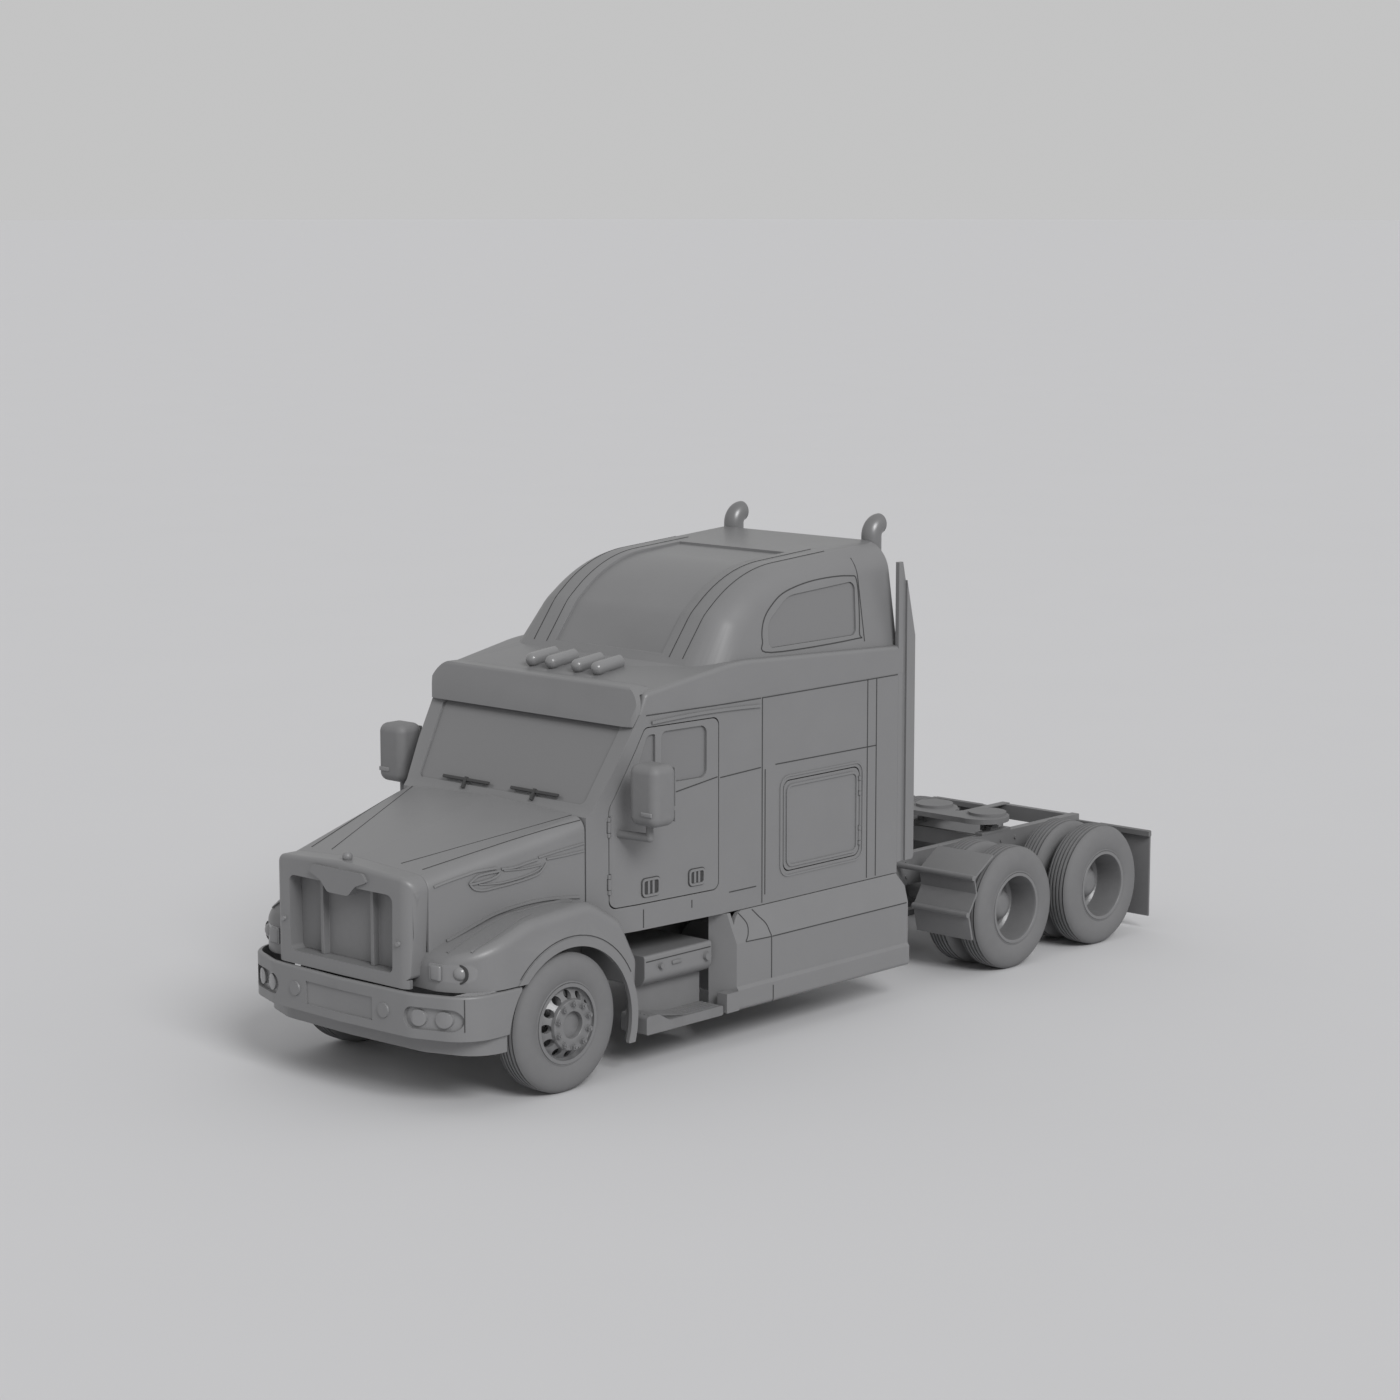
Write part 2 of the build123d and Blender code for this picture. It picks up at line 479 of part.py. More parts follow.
mirror_arm = (stalk + head) - plan_slab(body_plan(0, CAB_FRONT, CAB_REAR), CAB_Z0, ROOF_Z)
nodes["mirror_left"], nodes["mirror_right"] = [mirror_arm], [other(mirror_arm)]

# Sleeper shell with its two baggage doors


def bay_line(gap):
    return [(BAY_Y0 + gap, BAY_Z0 + gap, 70), (BAY_Y0 + gap, BAY_Z1 - gap, 70),
            (BAY_Y1 - gap, BAY_Z1 - gap, 70), (BAY_Y1 - gap, BAY_Z0 + gap, 70)]


sleeper = block(-BODY_W, BODY_W, CAB_REAR, SLEEPER_REAR, CAB_Z0, ROOF_Z)
sleeper -= block(-BODY_W + WALL, BODY_W - WALL, CAB_REAR - 1, SLEEPER_REAR - WALL, CAB_Z0 + FLOOR, ROOF_Z + 1)
bay_door = sleeper & side_slab(bay_line(DOOR_GAP), BODY_W - 260, FAR)
sleeper -= [side_slab(bay_line(0), BODY_W - 260, FAR), side_slab(bay_line(0), -FAR, -BODY_W + 260)]
for z in (BAY_Z0 + 160, BAY_Z1 - 160):
    leaf, leaf_room, post, post_room = hinge(BODY_W, BAY_Y1 - DOOR_GAP / 2, z)
    sleeper -= [leaf_room, other(leaf_room)]
    sleeper += [post, other(post)]
    bay_door = bay_door - post_room + leaf
nodes["sleeper_shell"] = [sleeper]
nodes["baggage_door_left"], nodes["baggage_door_right"] = [bay_door], [other(bay_door)]

# Roof fairing: a brow band round cab and sleeper, and a narrower dome rising from it


def brow(inset, edge):
    foot = ROOF_Z - (50 if inset else 0)
    solid = plan_slab(body_plan(inset, CAB_FRONT, ROOF_REAR - inset), foot, BROW_TOP_Z + 50)
    solid = solid & side_slab(
        [(SCREEN_TOP_Y + inset, foot, 0), (BROW_Y + inset, BROW_Z - inset, 60), (BROW_TOP_Y, BROW_TOP_Z - inset, 2000),
         (ROOF_REAR - inset, BAND_REAR_Z - inset, 0), (ROOF_REAR - inset, foot, 0)], -FAR, FAR)
    rims = [e for e in solid.edges() if abs(e.center().X) > CAB_NOSE_W and e.center().Z > BROW_Z - inset]
    return fillet(rims, edge) if edge else solid


def dome_side(inset):
    lean = inset * hypot(1, (DOME_BEND_Y - DOME_FOOT_Y) / (DOME_BEND_Z - ROOF_Z))
    return side_slab(
        [(DOME_FOOT_Y + lean, ROOF_Z + 40, 0), (DOME_BEND_Y + inset * 0.9, DOME_BEND_Z - inset * 0.4, 400),
         (DOME_KNEE_Y + inset * 0.4, DOME_KNEE_Z - inset, DOME_KNEE_R),
         (ROOF_REAR - inset, DOME_TOP_Z - inset, 0), (ROOF_REAR - inset, ROOF_Z + 40, 0)], -FAR, FAR)


def dome(inset):
    section = mirrored([(-DOME_W + inset, ROOF_Z + 225, 0), (-DOME_TOP_W + inset, DOME_TOP_Z + 20, 0)])
    solid = dome_side(inset) & front_slab(
        [(-DOME_W + inset, ROOF_Z, 0)] + section + [(DOME_W - inset, ROOF_Z, 0)], CAB_FRONT, ROOF_REAR)
    ridges = [e for e in solid.edges() if abs(e.center().X) > PANEL_W and e.center().Z > ROOF_Z + 230
              and e.center().Y < ROOF_REAR - inset - 1]
    ridges = [e for e in ridges if e.bounding_box().size.Y > 300]
    return fillet(ridges, SHOULDER_R - inset)


WINDOW_Z0 = BROW_TOP_Z + 40
ROOF_WINDOW = [(DOME_KNEE_Y + 40, WINDOW_Z0, 50), (DOME_KNEE_Y + 55, WINDOW_Z0 + 195, 150),
               (DOME_KNEE_Y + 320, WINDOW_Z0 + 377, 300), (ROOF_REAR - 430, WINDOW_Z0 + 420, 60),
               (ROOF_REAR - 482, WINDOW_Z0, 60)]
roof_full = brow(0, 35) + dome(0)
roof_cut = side_slab(ROOF_WINDOW, PANEL_W, FAR)
panel_cut = (dome_side(-5) - dome_side(PANEL_DEEP)) & block(
    -PANEL_W, PANEL_W, DOME_FOOT_Y, ROOF_REAR - 760, BROW_TOP_Z + 20, FAR * 2)
roof = roof_full - brow(WALL, 0) - dome(WALL) - [roof_cut, other(roof_cut), panel_cut]
nodes["roof_fairing"] = [roof]
roof_pane = (dome(15) - dome(15 + GLASS)) & roof_cut
nodes["cab_glass"] = [windscreen] + pair(roof_pane)

# Sun visor over the windscreen
visor = side_slab(
    [(SCREEN_TOP_Y - 93, ROOF_Z - 81, 0), (SCREEN_TOP_Y, BROW_Z + 45, 30), (SCREEN_TOP_Y + 170, BROW_Z + 38, 0),
     (SCREEN_TOP_Y + 170, BROW_Z - 10, 0), (SCREEN_TOP_Y + 35, BROW_Z - 10, 20), (SCREEN_TOP_Y - 62, ROOF_Z - 81, 0)],
    -VISOR_W, VISOR_W)
visor = visor & plan_slab(
    mirrored([(-VISOR_W, SCREEN_TOP_Y + 420, 0), (-VISOR_W, SCREEN_TOP_Y - 93, 110)]), ROOF_Z - 200, ROOF_Z + 300)
visor = visor & front_slab(mirrored([(-VISOR_W, ROOF_Z - 200, 0), (-VISOR_W, BROW_Z + 60, 220)]), 0, FAR)
nodes["sun_visor"] = [visor - roof_full]

# Marker lamps on the roof's brow
for x in (-350, -140, 140, 350):
    tip, tail = (x, BROW_Y + 250, BROW_Z + 85), (x, BROW_Y + 490, BROW_Z + 112)
    lamps.append(bar(tip, tail, MARKER_R) + Pos(*tip) * Sphere(MARKER_R) - roof_full)
# Tail lamps on the rear crossmember
for x in (-330, -210, 210, 330):
    lamps.append(bar((x, FRAME_REAR - 15, RAIL_Z1 - 70), (x, FRAME_REAR, RAIL_Z1 - 70), 42))
nodes["body_lamps"] = lamps

# Bonnet


def hood_section(half, top, low, round_r):
    return mirrored([(-half, low, 0), (-half, top - 45, round_r), (-1, top, 0)])


def hood_body(inset, extra):
    front = outline(hood_section(HOOD_FRONT_W - inset, HOOD_FRONT_Z - inset, NOSE_Z + 90 - extra, 110 - inset))
    rear = outline(hood_section(HOOD_REAR_W - inset, HOOD_REAR_Z - inset, CAB_Z0 + 135 - extra, 110 - inset))
    return loft([Plane.XZ.offset(extra - HOOD_FRONT) * front, Plane.XZ.offset(-HOOD_REAR - extra) * rear])


hood_full = hood_body(0, 0)
hood = hood_full - hood_body(SKIN, 5)
nodes["hood_shell"] = [hood]

# Front fenders with a raised lip round each wheel arch
SHELL_FOOT_W = HOOD_FRONT_W - 40
SHELL_LINE = mirrored(
    [(-SHELL_FOOT_W, NOSE_Z, 40), (-HOOD_FRONT_W, HOOD_FRONT_Z - 45, 110), (-1, HOOD_FRONT_Z, 0)])
FENDER_ROOT = 600


def fender_plan(inset, z0, z1):
    return plan_slab(
        [(FENDER_ROOT, FENDER_FRONT + inset, 0), (FENDER_W - inset, FENDER_FRONT + inset, FENDER_CORNER - inset),
         (FENDER_W - inset, FENDER_REAR + 135, 0), (FENDER_IN, FENDER_REAR + 135, 0), (FENDER_IN, HOOD_REAR - 30, 0),
         (FENDER_ROOT, HOOD_REAR - 30, 0)], z0, z1)


def fender_side(inset, x0, x1):
    low = BUMPER_Z1 + BONNET_GAP - inset * 3
    return side_slab(
        [(FENDER_FRONT + 10 + inset, low, 0), (FENDER_FRONT + 20 + inset, FENDER_TOP - 255 - inset, 150 - inset),
         (-350, FENDER_TOP - 50 - inset, 500), (260, FENDER_TOP - inset, 300), (FENDER_REAR - 175, FENDER_TOP - 195 - inset, 200),
         (FENDER_REAR - inset, ARCH_Z + 400, 150), (FENDER_REAR - 40 - inset, FENDER_Z0 - inset, 0),
         (FENDER_REAR - 125, FENDER_Z0 - inset, 0), (FENDER_REAR - 265, low, 0)], x0, x1)


def fender_form(inset):
    solid = fender_side(inset, FENDER_ROOT, FENDER_W - inset) & fender_plan(inset, 0, FENDER_TOP + 100)
    crown = [e for e in solid.edges() if e.center().Z > NOSE_Z + 20 and e.center().Y < FENDER_REAR - 60
             and e.bounding_box().size.Y > 1
             and (abs(e.center().X - FENDER_W + inset) < 1 or (e.center().Y < FENDER_FRONT + FENDER_CORNER and e.center().X > LAMP_X0))]
    return fillet(crown, CROWN_R - inset)


fender = fender_form(0) - fender_form(SKIN) - hood_full
fender += (arch(LIP_W) & fender_side(0, FENDER_W - 5, FENDER_W + LIP)) & block(
    FENDER_W - 10, FENDER_W + LIP, FENDER_FRONT + FENDER_CORNER, FENDER_REAR, FENDER_Z0, FENDER_TOP)
fender -= [arch(0), front_slab(SHELL_LINE, -FAR, HOOD_FRONT + 1)]
lamp_slot = front_slab(
    [(LAMP_X0, LAMP_Z0, 20), (LAMP_X1, LAMP_Z0, 50), (LAMP_X1, LAMP_Z1, 50), (LAMP_X0, LAMP_Z1, 20)], -FAR, FENDER_FRONT + 300)
lamp_mid = (LAMP_Z0 + LAMP_Z1) / 2
head_lamp = (fender_plan(0, NOSE_Z, FENDER_TOP) - fender_plan(SKIN, NOSE_Z - 1, FENDER_TOP + 1)) & lamp_slot
head_lamp += Pos(LAMP_X1 - 105, FENDER_FRONT + 118, lamp_mid) * Rot(90, 0, 0) * Sphere(62)
fender -= lamp_slot
nodes["fenders"] = pair(fender)
nodes["head_lamps"] = pair(head_lamp)

# Grille shell with an apron, a plain badge plate and a boss, and the bars set back in it


def shell_plan(inset):
    return mirrored([(-HOOD_FRONT_W + inset, HOOD_FRONT, 0),
                     (-HOOD_FRONT_W + inset, GRILLE_FRONT + 10 + inset, 120 - inset), (-1, GRILLE_FRONT + inset, 0)])


shell = plan_slab(shell_plan(0), NOSE_Z, HOOD_FRONT_Z + 5) & front_slab(SHELL_LINE, -FAR, HOOD_FRONT)
apron = plan_slab(shell_plan(0), BUMPER_Z1 + BONNET_GAP, NOSE_Z + 1)
apron -= plan_slab(shell_plan(30), BUMPER_Z1, NOSE_Z + 2)
shell += apron & block(-SHELL_FOOT_W + 5, SHELL_FOOT_W - 5, -FAR, HOOD_PIVOT_Y, 0, FAR)
mouth = front_slab(mirrored([(-MOUTH_W, MOUTH_Z0, 40), (-MOUTH_W - 10, MOUTH_Z1, 60)]), -FAR, HOOD_FRONT + 130)
shell -= mouth
badge = front_slab(
    mirrored([(-110, MOUTH_Z1 - 65, 50), (-190, MOUTH_Z1 + 15, 60), (-310, MOUTH_Z1 + 60, 12),
              (-270, MOUTH_Z1 + 118, 30)]), GRILLE_FRONT - 18, GRILLE_FRONT + 60)
shell += badge
shell += Pos(0, GRILLE_FRONT + 85, HOOD_FRONT_Z + 20) * Sphere(38)
eye_in, eye_out = HOOD_PIVOT_X + 3, HOOD_PIVOT_X + 30
hinge_eye = block(eye_in, eye_out, HOOD_PIVOT_Y - 16, HOOD_PIVOT_Y + 16, HOOD_PIVOT_Z, NOSE_Z + 5)
hinge_eye += bar((eye_in, HOOD_PIVOT_Y, HOOD_PIVOT_Z), (eye_out, HOOD_PIVOT_Y, HOOD_PIVOT_Z), HOOD_PIN_R + 8)
hinge_eye -= bar((eye_in - 8, HOOD_PIVOT_Y, HOOD_PIVOT_Z), (eye_out + 15, HOOD_PIVOT_Y, HOOD_PIVOT_Z), HOOD_PIN_R + RUN)
shell += [hinge_eye, other(hinge_eye)]
nodes["grille_shell"] = [shell]
insert = mouth & block(-FAR, FAR, HOOD_FRONT - 60, HOOD_FRONT - 40, 0, FAR)
for x in (-BAR_X, BAR_X):
    insert += mouth & block(x - 16, x + 16, GRILLE_FRONT + 68, HOOD_FRONT - 59, 0, FAR)
nodes["grille_insert"] = [insert - badge]

# Wipers at the foot of the windscreen
wipers = []
for x in (-620, 120):
    blade = extrude(screen_plane.offset(1) * Pos(x + 250, 75) * Rectangle(500, 22), 18)
    arm = extrude(screen_plane.offset(0) * Pos(x + 250, 50) * Rectangle(26, 90), 22)
    wipers.append(blade + arm)
nodes["wipers"] = wipers

# Side extenders behind the sleeper, with a slot down each
extender = side_slab(
    [(SLEEPER_REAR, EXTENDER_Z0, 0), (EXTENDER_Y1, EXTENDER_Z0, 30), (EXTENDER_Y1, EXTENDER_Z1 - 605, 60),
     (SLEEPER_REAR + 70, EXTENDER_Z1, 15), (SLEEPER_REAR, EXTENDER_Z1, 0)], BODY_W - 35, BODY_W)
extender -= block(BODY_W - 18, BODY_W + 1, SLEEPER_REAR + 50, SLEEPER_REAR + 105, 0, FAR * 2)
nodes["side_extenders"] = pair(extender - roof_full)

# Exhaust stacks: muffler, pipe and a bored tip bent to blow rearwards
tip_z = STACK_TOP - TIP_BEND - STACK_R
stack = bar((STACK_X, STACK_Y, STACK_Z0), (STACK_X, STACK_Y, tip_z), STACK_R)
stack -= bar((STACK_X, STACK_Y, tip_z - 400), (STACK_X, STACK_Y, tip_z + 1), STACK_R - 6)
tip_ring = Pos(STACK_X, STACK_Y, tip_z) * (Circle(STACK_R) - Circle(STACK_R - 6))
stack += revolve(tip_ring, Axis((0, STACK_Y + TIP_BEND, tip_z), (-1, 0, 0)), 90)
stack += bar((STACK_X, STACK_Y, MUFFLER_Z0), (STACK_X, STACK_Y, MUFFLER_Z1), MUFFLER_R)
for z in (STACK_Z0 + 150, MUFFLER_Z1 - 100):
    stack += block(STACK_X - 40, STACK_X + 40, SLEEPER_REAR, STACK_Y - STACK_R / 2, z, z + 60)
nodes["exhaust_stacks"] = pair(stack)

# Side fairings: skin over a sill, a turned-in front face and struts to the frame
skin_w = FAIRING_W - 18
face_in = FAIRING_W - 210
outside = [(FAIRING_W, FAIRING_Z0, 30), (FAIRING_W, SILL_Z1, 12), (skin_w, SILL_Z1 + 25, 12), (skin_w, CAB_Z0 - 240, 40),
           (BODY_W + 5, CAB_Z0 - 5, 0)]
inside = [(BODY_W - 30, CAB_Z0 - 5, 0), (skin_w - 35, CAB_Z0 - 250, 40), (skin_w - 35, FAIRING_Z0, 0)]
fairing = front_slab(outside + inside, FAIRING_Y0, FAIRING_Y1)
fairing = fairing & side_slab(
    [(FAIRING_Y0, FAIRING_Z0, 0), (FAIRING_Y0, CAB_Z0, 160), (FAIRING_Y1 - 80, CAB_Z0, 0), (FAIRING_Y1, CAB_Z0 - 110, 0),
     (FAIRING_Y1, FAIRING_Z0, 0)], 0, FAR)
turned_in = plan_slab(
    [(FAIRING_W, FAIRING_Y0 + 10, 0), (FAIRING_W, FAIRING_Y0 + 45, 0), (face_in, FAIRING_Y0 - 75, 0),
     (face_in, FAIRING_Y0 - 110, 0)], FAIRING_Z0, CAB_Z0)
fairing += turned_in & front_slab(
    outside + [(face_in, CAB_Z0 - 5, 0), (face_in, FAIRING_Z0, 0)], FAIRING_Y0 - 200, FAIRING_Y0 + 100)
fairing += block(FAIRING_W - 100, FAIRING_W, FAIRING_Y0 - 130, FAIRING_Y0 + 10, FAIRING_Z0 + 5, SILL_Z1 - 5)
for y in (FAIRING_Y0 + 10, FAIRING_Y1 - 160):
    fairing += block(RAIL_OUT, skin_w - 20, y, y + 50, RAIL_Z0 + 20, RAIL_Z0 + 70)
nodes["side_fairings"] = pair(fairing)

# Fuel tanks behind the fairings
tank = fillet(bar((TANK_X, TANK_Y0, TANK_Z), (TANK_X, TANK_Y1, TANK_Z), TANK_R).edges().filter_by(GeomType.CIRCLE), 40)
for y in (TANK_Y0 + 250, TANK_Y1 - 300):
    tank += block(RAIL_OUT, TANK_X - 180, y, y + 70, RAIL_Z0 + 20, RAIL_Z1 - 20)
nodes["fuel_tanks"] = pair(tank)

# Battery boxes under the doors, with the entry steps below
boxes = front_slab(
    [(RAIL_OUT, BOX_Z0, 0), (BOX_W, BOX_Z0, 90), (BOX_W, BOX_Z1, 25), (RAIL_OUT, BOX_Z1, 0)], BOX_Y0, BOX_Y1)
nodes["battery_boxes"] = pair(boxes)
step = side_slab(
    [(STEP_Y0, STEP_Z, 15), (STEP_Y0, STEP_Z + 140, 25), (STEP_Y0 + 130, STEP_Z + 140, 50),
     (STEP_Y0 + 250, STEP_Z + 75, 50), (STEP_Y1, STEP_Z + 75, 15), (STEP_Y1, STEP_Z, 15)], STEP_IN, STEP_W)
step += block(STEP_IN, STEP_IN + 30, BOX_Y0 + 10, BOX_Y1 - 20, STEP_Z + 40, BOX_Z0)
nodes["steps"] = pair(step)

# Quarter fenders ahead of the drive tyres
ring = [(-330, 504), (-581, 344), (-548, 207), (-655, 45), (-600, -178)]
guard_out = [(DRIVE_1 + y, TYRE_R + z, 0) for y, z in ring]
guard_in = [(DRIVE_1 + y * 0.97, TYRE_R + z * 0.97, 0) for y, z in reversed(ring)]
guard_x0, guard_x1 = in_in + 25, REAR_TYRE_OUT - 10
guard = side_slab(guard_out + guard_in, guard_x0, guard_x1)
for root, (y, z) in ((RAIL_OUT, ring[1]), (guard_x0, ring[3])):
    guard += bar((root, DRIVE_1 + y, TYRE_R + z), (guard_x1 + 2, DRIVE_1 + y, TYRE_R + z), 24)
nodes["quarter_fenders"] = pair(guard)

# Mud flaps on hanger bars
flap = block(FLAP_X0, FLAP_X1 - 20, FRAME_REAR - 20, FRAME_REAR, FLAP_Z0, FLAP_Z1)
flap += block(RAIL_OUT, FLAP_X1, FRAME_REAR - 60, FRAME_REAR - 20, FLAP_Z1 - 48, FLAP_Z1)
nodes["mud_flaps"] = pair(flap)

# Fifth wheel: a two-lobed plate with raised pads, tilting on a saddle
lobes = Pos(-LOBE_X, FW_Y - 20) * Circle(LOBE_R) + Pos(LOBE_X, FW_Y - 20) * Circle(LOBE_R)
plate = lobes + Pos(0, FW_Y - 75) * Rectangle(2 * LOBE_X, 350)
plate -= make_face(Polyline((-KING_R, FW_Y), (KING_R, FW_Y), (110, FW_Y + 240), (-110, FW_Y + 240), close=True))
plate -= Pos(0, FW_Y) * Circle(KING_R)
fifth = extrude(Plane.XY.offset(FW_TOP - FW_T) * plate, FW_T)
saddle = []
for side in (-1, 1):
    pad = lobes & (Pos(side * (LOBE_X + 10), FW_Y + 40) * Circle(LOBE_R - 70))
    fifth += extrude(Plane.XY.offset(FW_TOP) * pad, FW_PAD)
    lug_x = RAIL_OUT - RAIL_W - 55
    lug = block(lug_x, lug_x + 40, FW_Y - 60, FW_Y + 60, FW_PIN_Z - 45, FW_TOP - FW_T)
    lug -= bar((lug_x - 90, FW_Y, FW_PIN_Z), (lug_x + 200, FW_Y, FW_PIN_Z), FW_PIN_R + 1)
    foot = block(lug_x + 55, RAIL_OUT, FW_Y - 200, FW_Y + 200, RAIL_Z1, RAIL_Z1 + 25)
    foot += block(lug_x + 55, lug_x + 115, FW_Y - 55, FW_Y + 55, RAIL_Z1, FW_PIN_Z)
    foot += bar((lug_x + 55, FW_Y, FW_PIN_Z), (lug_x + 115, FW_Y, FW_PIN_Z), FW_PIN_R + 7)
    foot += bar((lug_x - 10, FW_Y, FW_PIN_Z), (lug_x + 105, FW_Y, FW_PIN_Z), FW_PIN_R)
    fifth += lug if side > 0 else other(lug)
    saddle.append(foot if side > 0 else other(foot))
nodes["fifth_wheel"] = [fifth]
nodes["fifth_wheel_saddle"] = saddle

# Seats with the bunk, and the dashboard with the steering wheel
SEAT_Y = DOOR_REAR - 407
floor_z = CAB_Z0 + FLOOR
soft = []
for x in (-520, 520):
    seat = block(x - 180, x + 180, SEAT_Y + 60, SEAT_Y + 420, floor_z, floor_z + 225)
    seat += block(x - 250, x + 250, SEAT_Y, SEAT_Y + 520, floor_z + 215, floor_z + 365)
    soft.append(seat + block(x - 240, x + 240, SEAT_Y + 420, SEAT_Y + 550, floor_z + 355, floor_z + 1045))
bunk_z = floor_z + 515
soft.append(block(-BODY_W + WALL, BODY_W - WALL, CAB_REAR + 640, SLEEPER_REAR - WALL, bunk_z, bunk_z + 200))
nodes["seats_and_bunk"] = soft
wheel_y, wheel_z = CAB_FRONT + 510, floor_z + 685
dash = block(-CAB_NOSE_W + 105, CAB_NOSE_W - 105, CAB_FRONT + WALL, CAB_FRONT + 320, floor_z + 315, floor_z + 775)
dash += bar((480, wheel_y - 230, wheel_z - 140), (480, wheel_y, wheel_z), 30)
dash += Plane(origin=(480, wheel_y, wheel_z), z_dir=(0, 230, 140)) * Torus(210, 18)
dash += bar((270, wheel_y, wheel_z), (690, wheel_y, wheel_z), 14)
nodes["dashboard"] = [dash]

os.makedirs("parts", exist_ok=True)
for name, solids in nodes.items():
    placed = [Pos(0, FRONT_AXLE_Y, 0) * s for s in solids]
    export_step(placed[0] if len(placed) == 1 else Compound(placed), "parts/%s.step" % name)
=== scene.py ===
import bmesh
import bpy
import json
from math import cos, pi, radians, sin, tan
from mathutils import Matrix, Vector
from mathutils.bvhtree import BVHTree


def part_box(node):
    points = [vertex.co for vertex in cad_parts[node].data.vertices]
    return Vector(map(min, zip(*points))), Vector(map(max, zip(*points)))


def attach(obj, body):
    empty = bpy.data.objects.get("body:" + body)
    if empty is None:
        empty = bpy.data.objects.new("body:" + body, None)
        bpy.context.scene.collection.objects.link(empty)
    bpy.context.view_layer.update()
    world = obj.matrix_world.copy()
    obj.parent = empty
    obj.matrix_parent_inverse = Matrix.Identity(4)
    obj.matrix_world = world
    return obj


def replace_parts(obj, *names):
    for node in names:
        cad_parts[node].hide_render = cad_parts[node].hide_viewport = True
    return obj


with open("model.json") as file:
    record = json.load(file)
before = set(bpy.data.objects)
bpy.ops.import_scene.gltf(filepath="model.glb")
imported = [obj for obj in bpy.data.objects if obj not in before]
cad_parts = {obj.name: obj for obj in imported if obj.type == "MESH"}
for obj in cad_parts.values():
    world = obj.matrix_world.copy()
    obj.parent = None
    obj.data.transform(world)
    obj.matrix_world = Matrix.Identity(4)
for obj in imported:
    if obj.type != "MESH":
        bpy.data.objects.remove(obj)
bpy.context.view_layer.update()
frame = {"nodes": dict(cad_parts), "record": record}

# Chassis: two pressed channel rails with bolted crossmembers, on cast axles and leaf springs.
# The steel is enamelled, and the castings are painted over their sand grain.


def grain_group():
    group = bpy.data.node_groups.new("surface_grain", "ShaderNodeTree")
    sockets = group.interface
    sockets.new_socket("Vector", in_out="INPUT", socket_type="NodeSocketVector")
    sockets.new_socket("Tone", in_out="INPUT", socket_type="NodeSocketColor")
    for label in ("Mottle", "Mottle Scale", "Roughness", "Grain Scale"):
        sockets.new_socket(label, in_out="INPUT", socket_type="NodeSocketFloat")
    sockets.new_socket("Color", in_out="OUTPUT", socket_type="NodeSocketColor")
    sockets.new_socket("Roughness", in_out="OUTPUT", socket_type="NodeSocketFloat")
    sockets.new_socket("Height", in_out="OUTPUT", socket_type="NodeSocketFloat")
    add, join = group.nodes.new, group.links.new
    given, result = add("NodeGroupInput"), add("NodeGroupOutput")
    mottle = add("ShaderNodeTexNoise")
    mottle.inputs["Detail"].default_value = 5
    grain = add("ShaderNodeTexNoise")
    grain.inputs["Detail"].default_value = 3
    centred = add("ShaderNodeMath")
    centred.operation = "SUBTRACT"
    centred.inputs[1].default_value = 0.5
    spread = add("ShaderNodeMath")
    spread.operation = "MULTIPLY"
    lift = add("ShaderNodeMath")
    lift.inputs[1].default_value = 1
    shade = add("ShaderNodeHueSaturation")
    rough = add("ShaderNodeMath")
    for noise, scale in ((mottle, "Mottle Scale"), (grain, "Grain Scale")):
        join(given.outputs["Vector"], noise.inputs["Vector"])
        join(given.outputs[scale], noise.inputs["Scale"])
    join(mottle.outputs["Fac"], centred.inputs[0])
    join(centred.outputs[0], spread.inputs[0])
    join(given.outputs["Mottle"], spread.inputs[1])
    join(spread.outputs[0], lift.inputs[0])
    join(given.outputs["Tone"], shade.inputs["Color"])
    join(lift.outputs[0], shade.inputs["Value"])
    join(spread.outputs[0], rough.inputs[0])
    join(given.outputs["Roughness"], rough.inputs[1])
    join(shade.outputs["Color"], result.inputs["Color"])
    join(rough.outputs[0], result.inputs["Roughness"])
    join(grain.outputs["Fac"], result.inputs["Height"])
    return group


surface_grain = grain_group()


def finish(name, tone, roughness, mottle, mottle_scale, grain_scale, relief, metallic=0, coat=0):
    look = bpy.data.materials.new(name)
    look.use_nodes = True
    tree = look.node_tree
    shader = tree.nodes["Principled BSDF"]
    shader.inputs["Metallic"].default_value = metallic
    shader.inputs["Coat Weight"].default_value = coat
    shader.inputs["Coat Roughness"].default_value = 0.25
    place = tree.nodes.new("ShaderNodeTexCoord")
    grain = tree.nodes.new("ShaderNodeGroup")
    grain.node_tree = surface_grain
    grain.inputs["Tone"].default_value = (tone, tone, tone * 1.02, 1)
    grain.inputs["Mottle"].default_value = mottle
    grain.inputs["Mottle Scale"].default_value = mottle_scale
    grain.inputs["Roughness"].default_value = roughness
    grain.inputs["Grain Scale"].default_value = grain_scale
    bump = tree.nodes.new("ShaderNodeBump")
    bump.inputs["Strength"].default_value = 0.35
    bump.inputs["Distance"].default_value = relief
    tree.links.new(place.outputs["Object"], grain.inputs["Vector"])
    tree.links.new(grain.outputs["Color"], shader.inputs["Base Color"])
    tree.links.new(grain.outputs["Roughness"], shader.inputs["Roughness"])
    tree.links.new(grain.outputs["Height"], bump.inputs["Height"])
    tree.links.new(bump.outputs["Normal"], shader.inputs["Normal"])
    return look


looks = {
    "frame_steel": finish("chassis_enamel", 0.18, 0.55, 0.18, 8, 180, 0.0010),
    "axle_cast": finish("painted_casting", 0.175, 0.62, 0.22, 12, 90, 0.0022),
}
node_slot = {row["node"]: row["material_slot"] for row in frame["record"]["subparts"]}
bodies = frame["record"]["behaviour"]["bodies"]
node_body = {node: body for body, nodes in bodies.items() for node in nodes}
axle_low, axle_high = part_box("tyre_front_left")
front_axle = (axle_low.y + axle_high.y) / 2
skins = {}


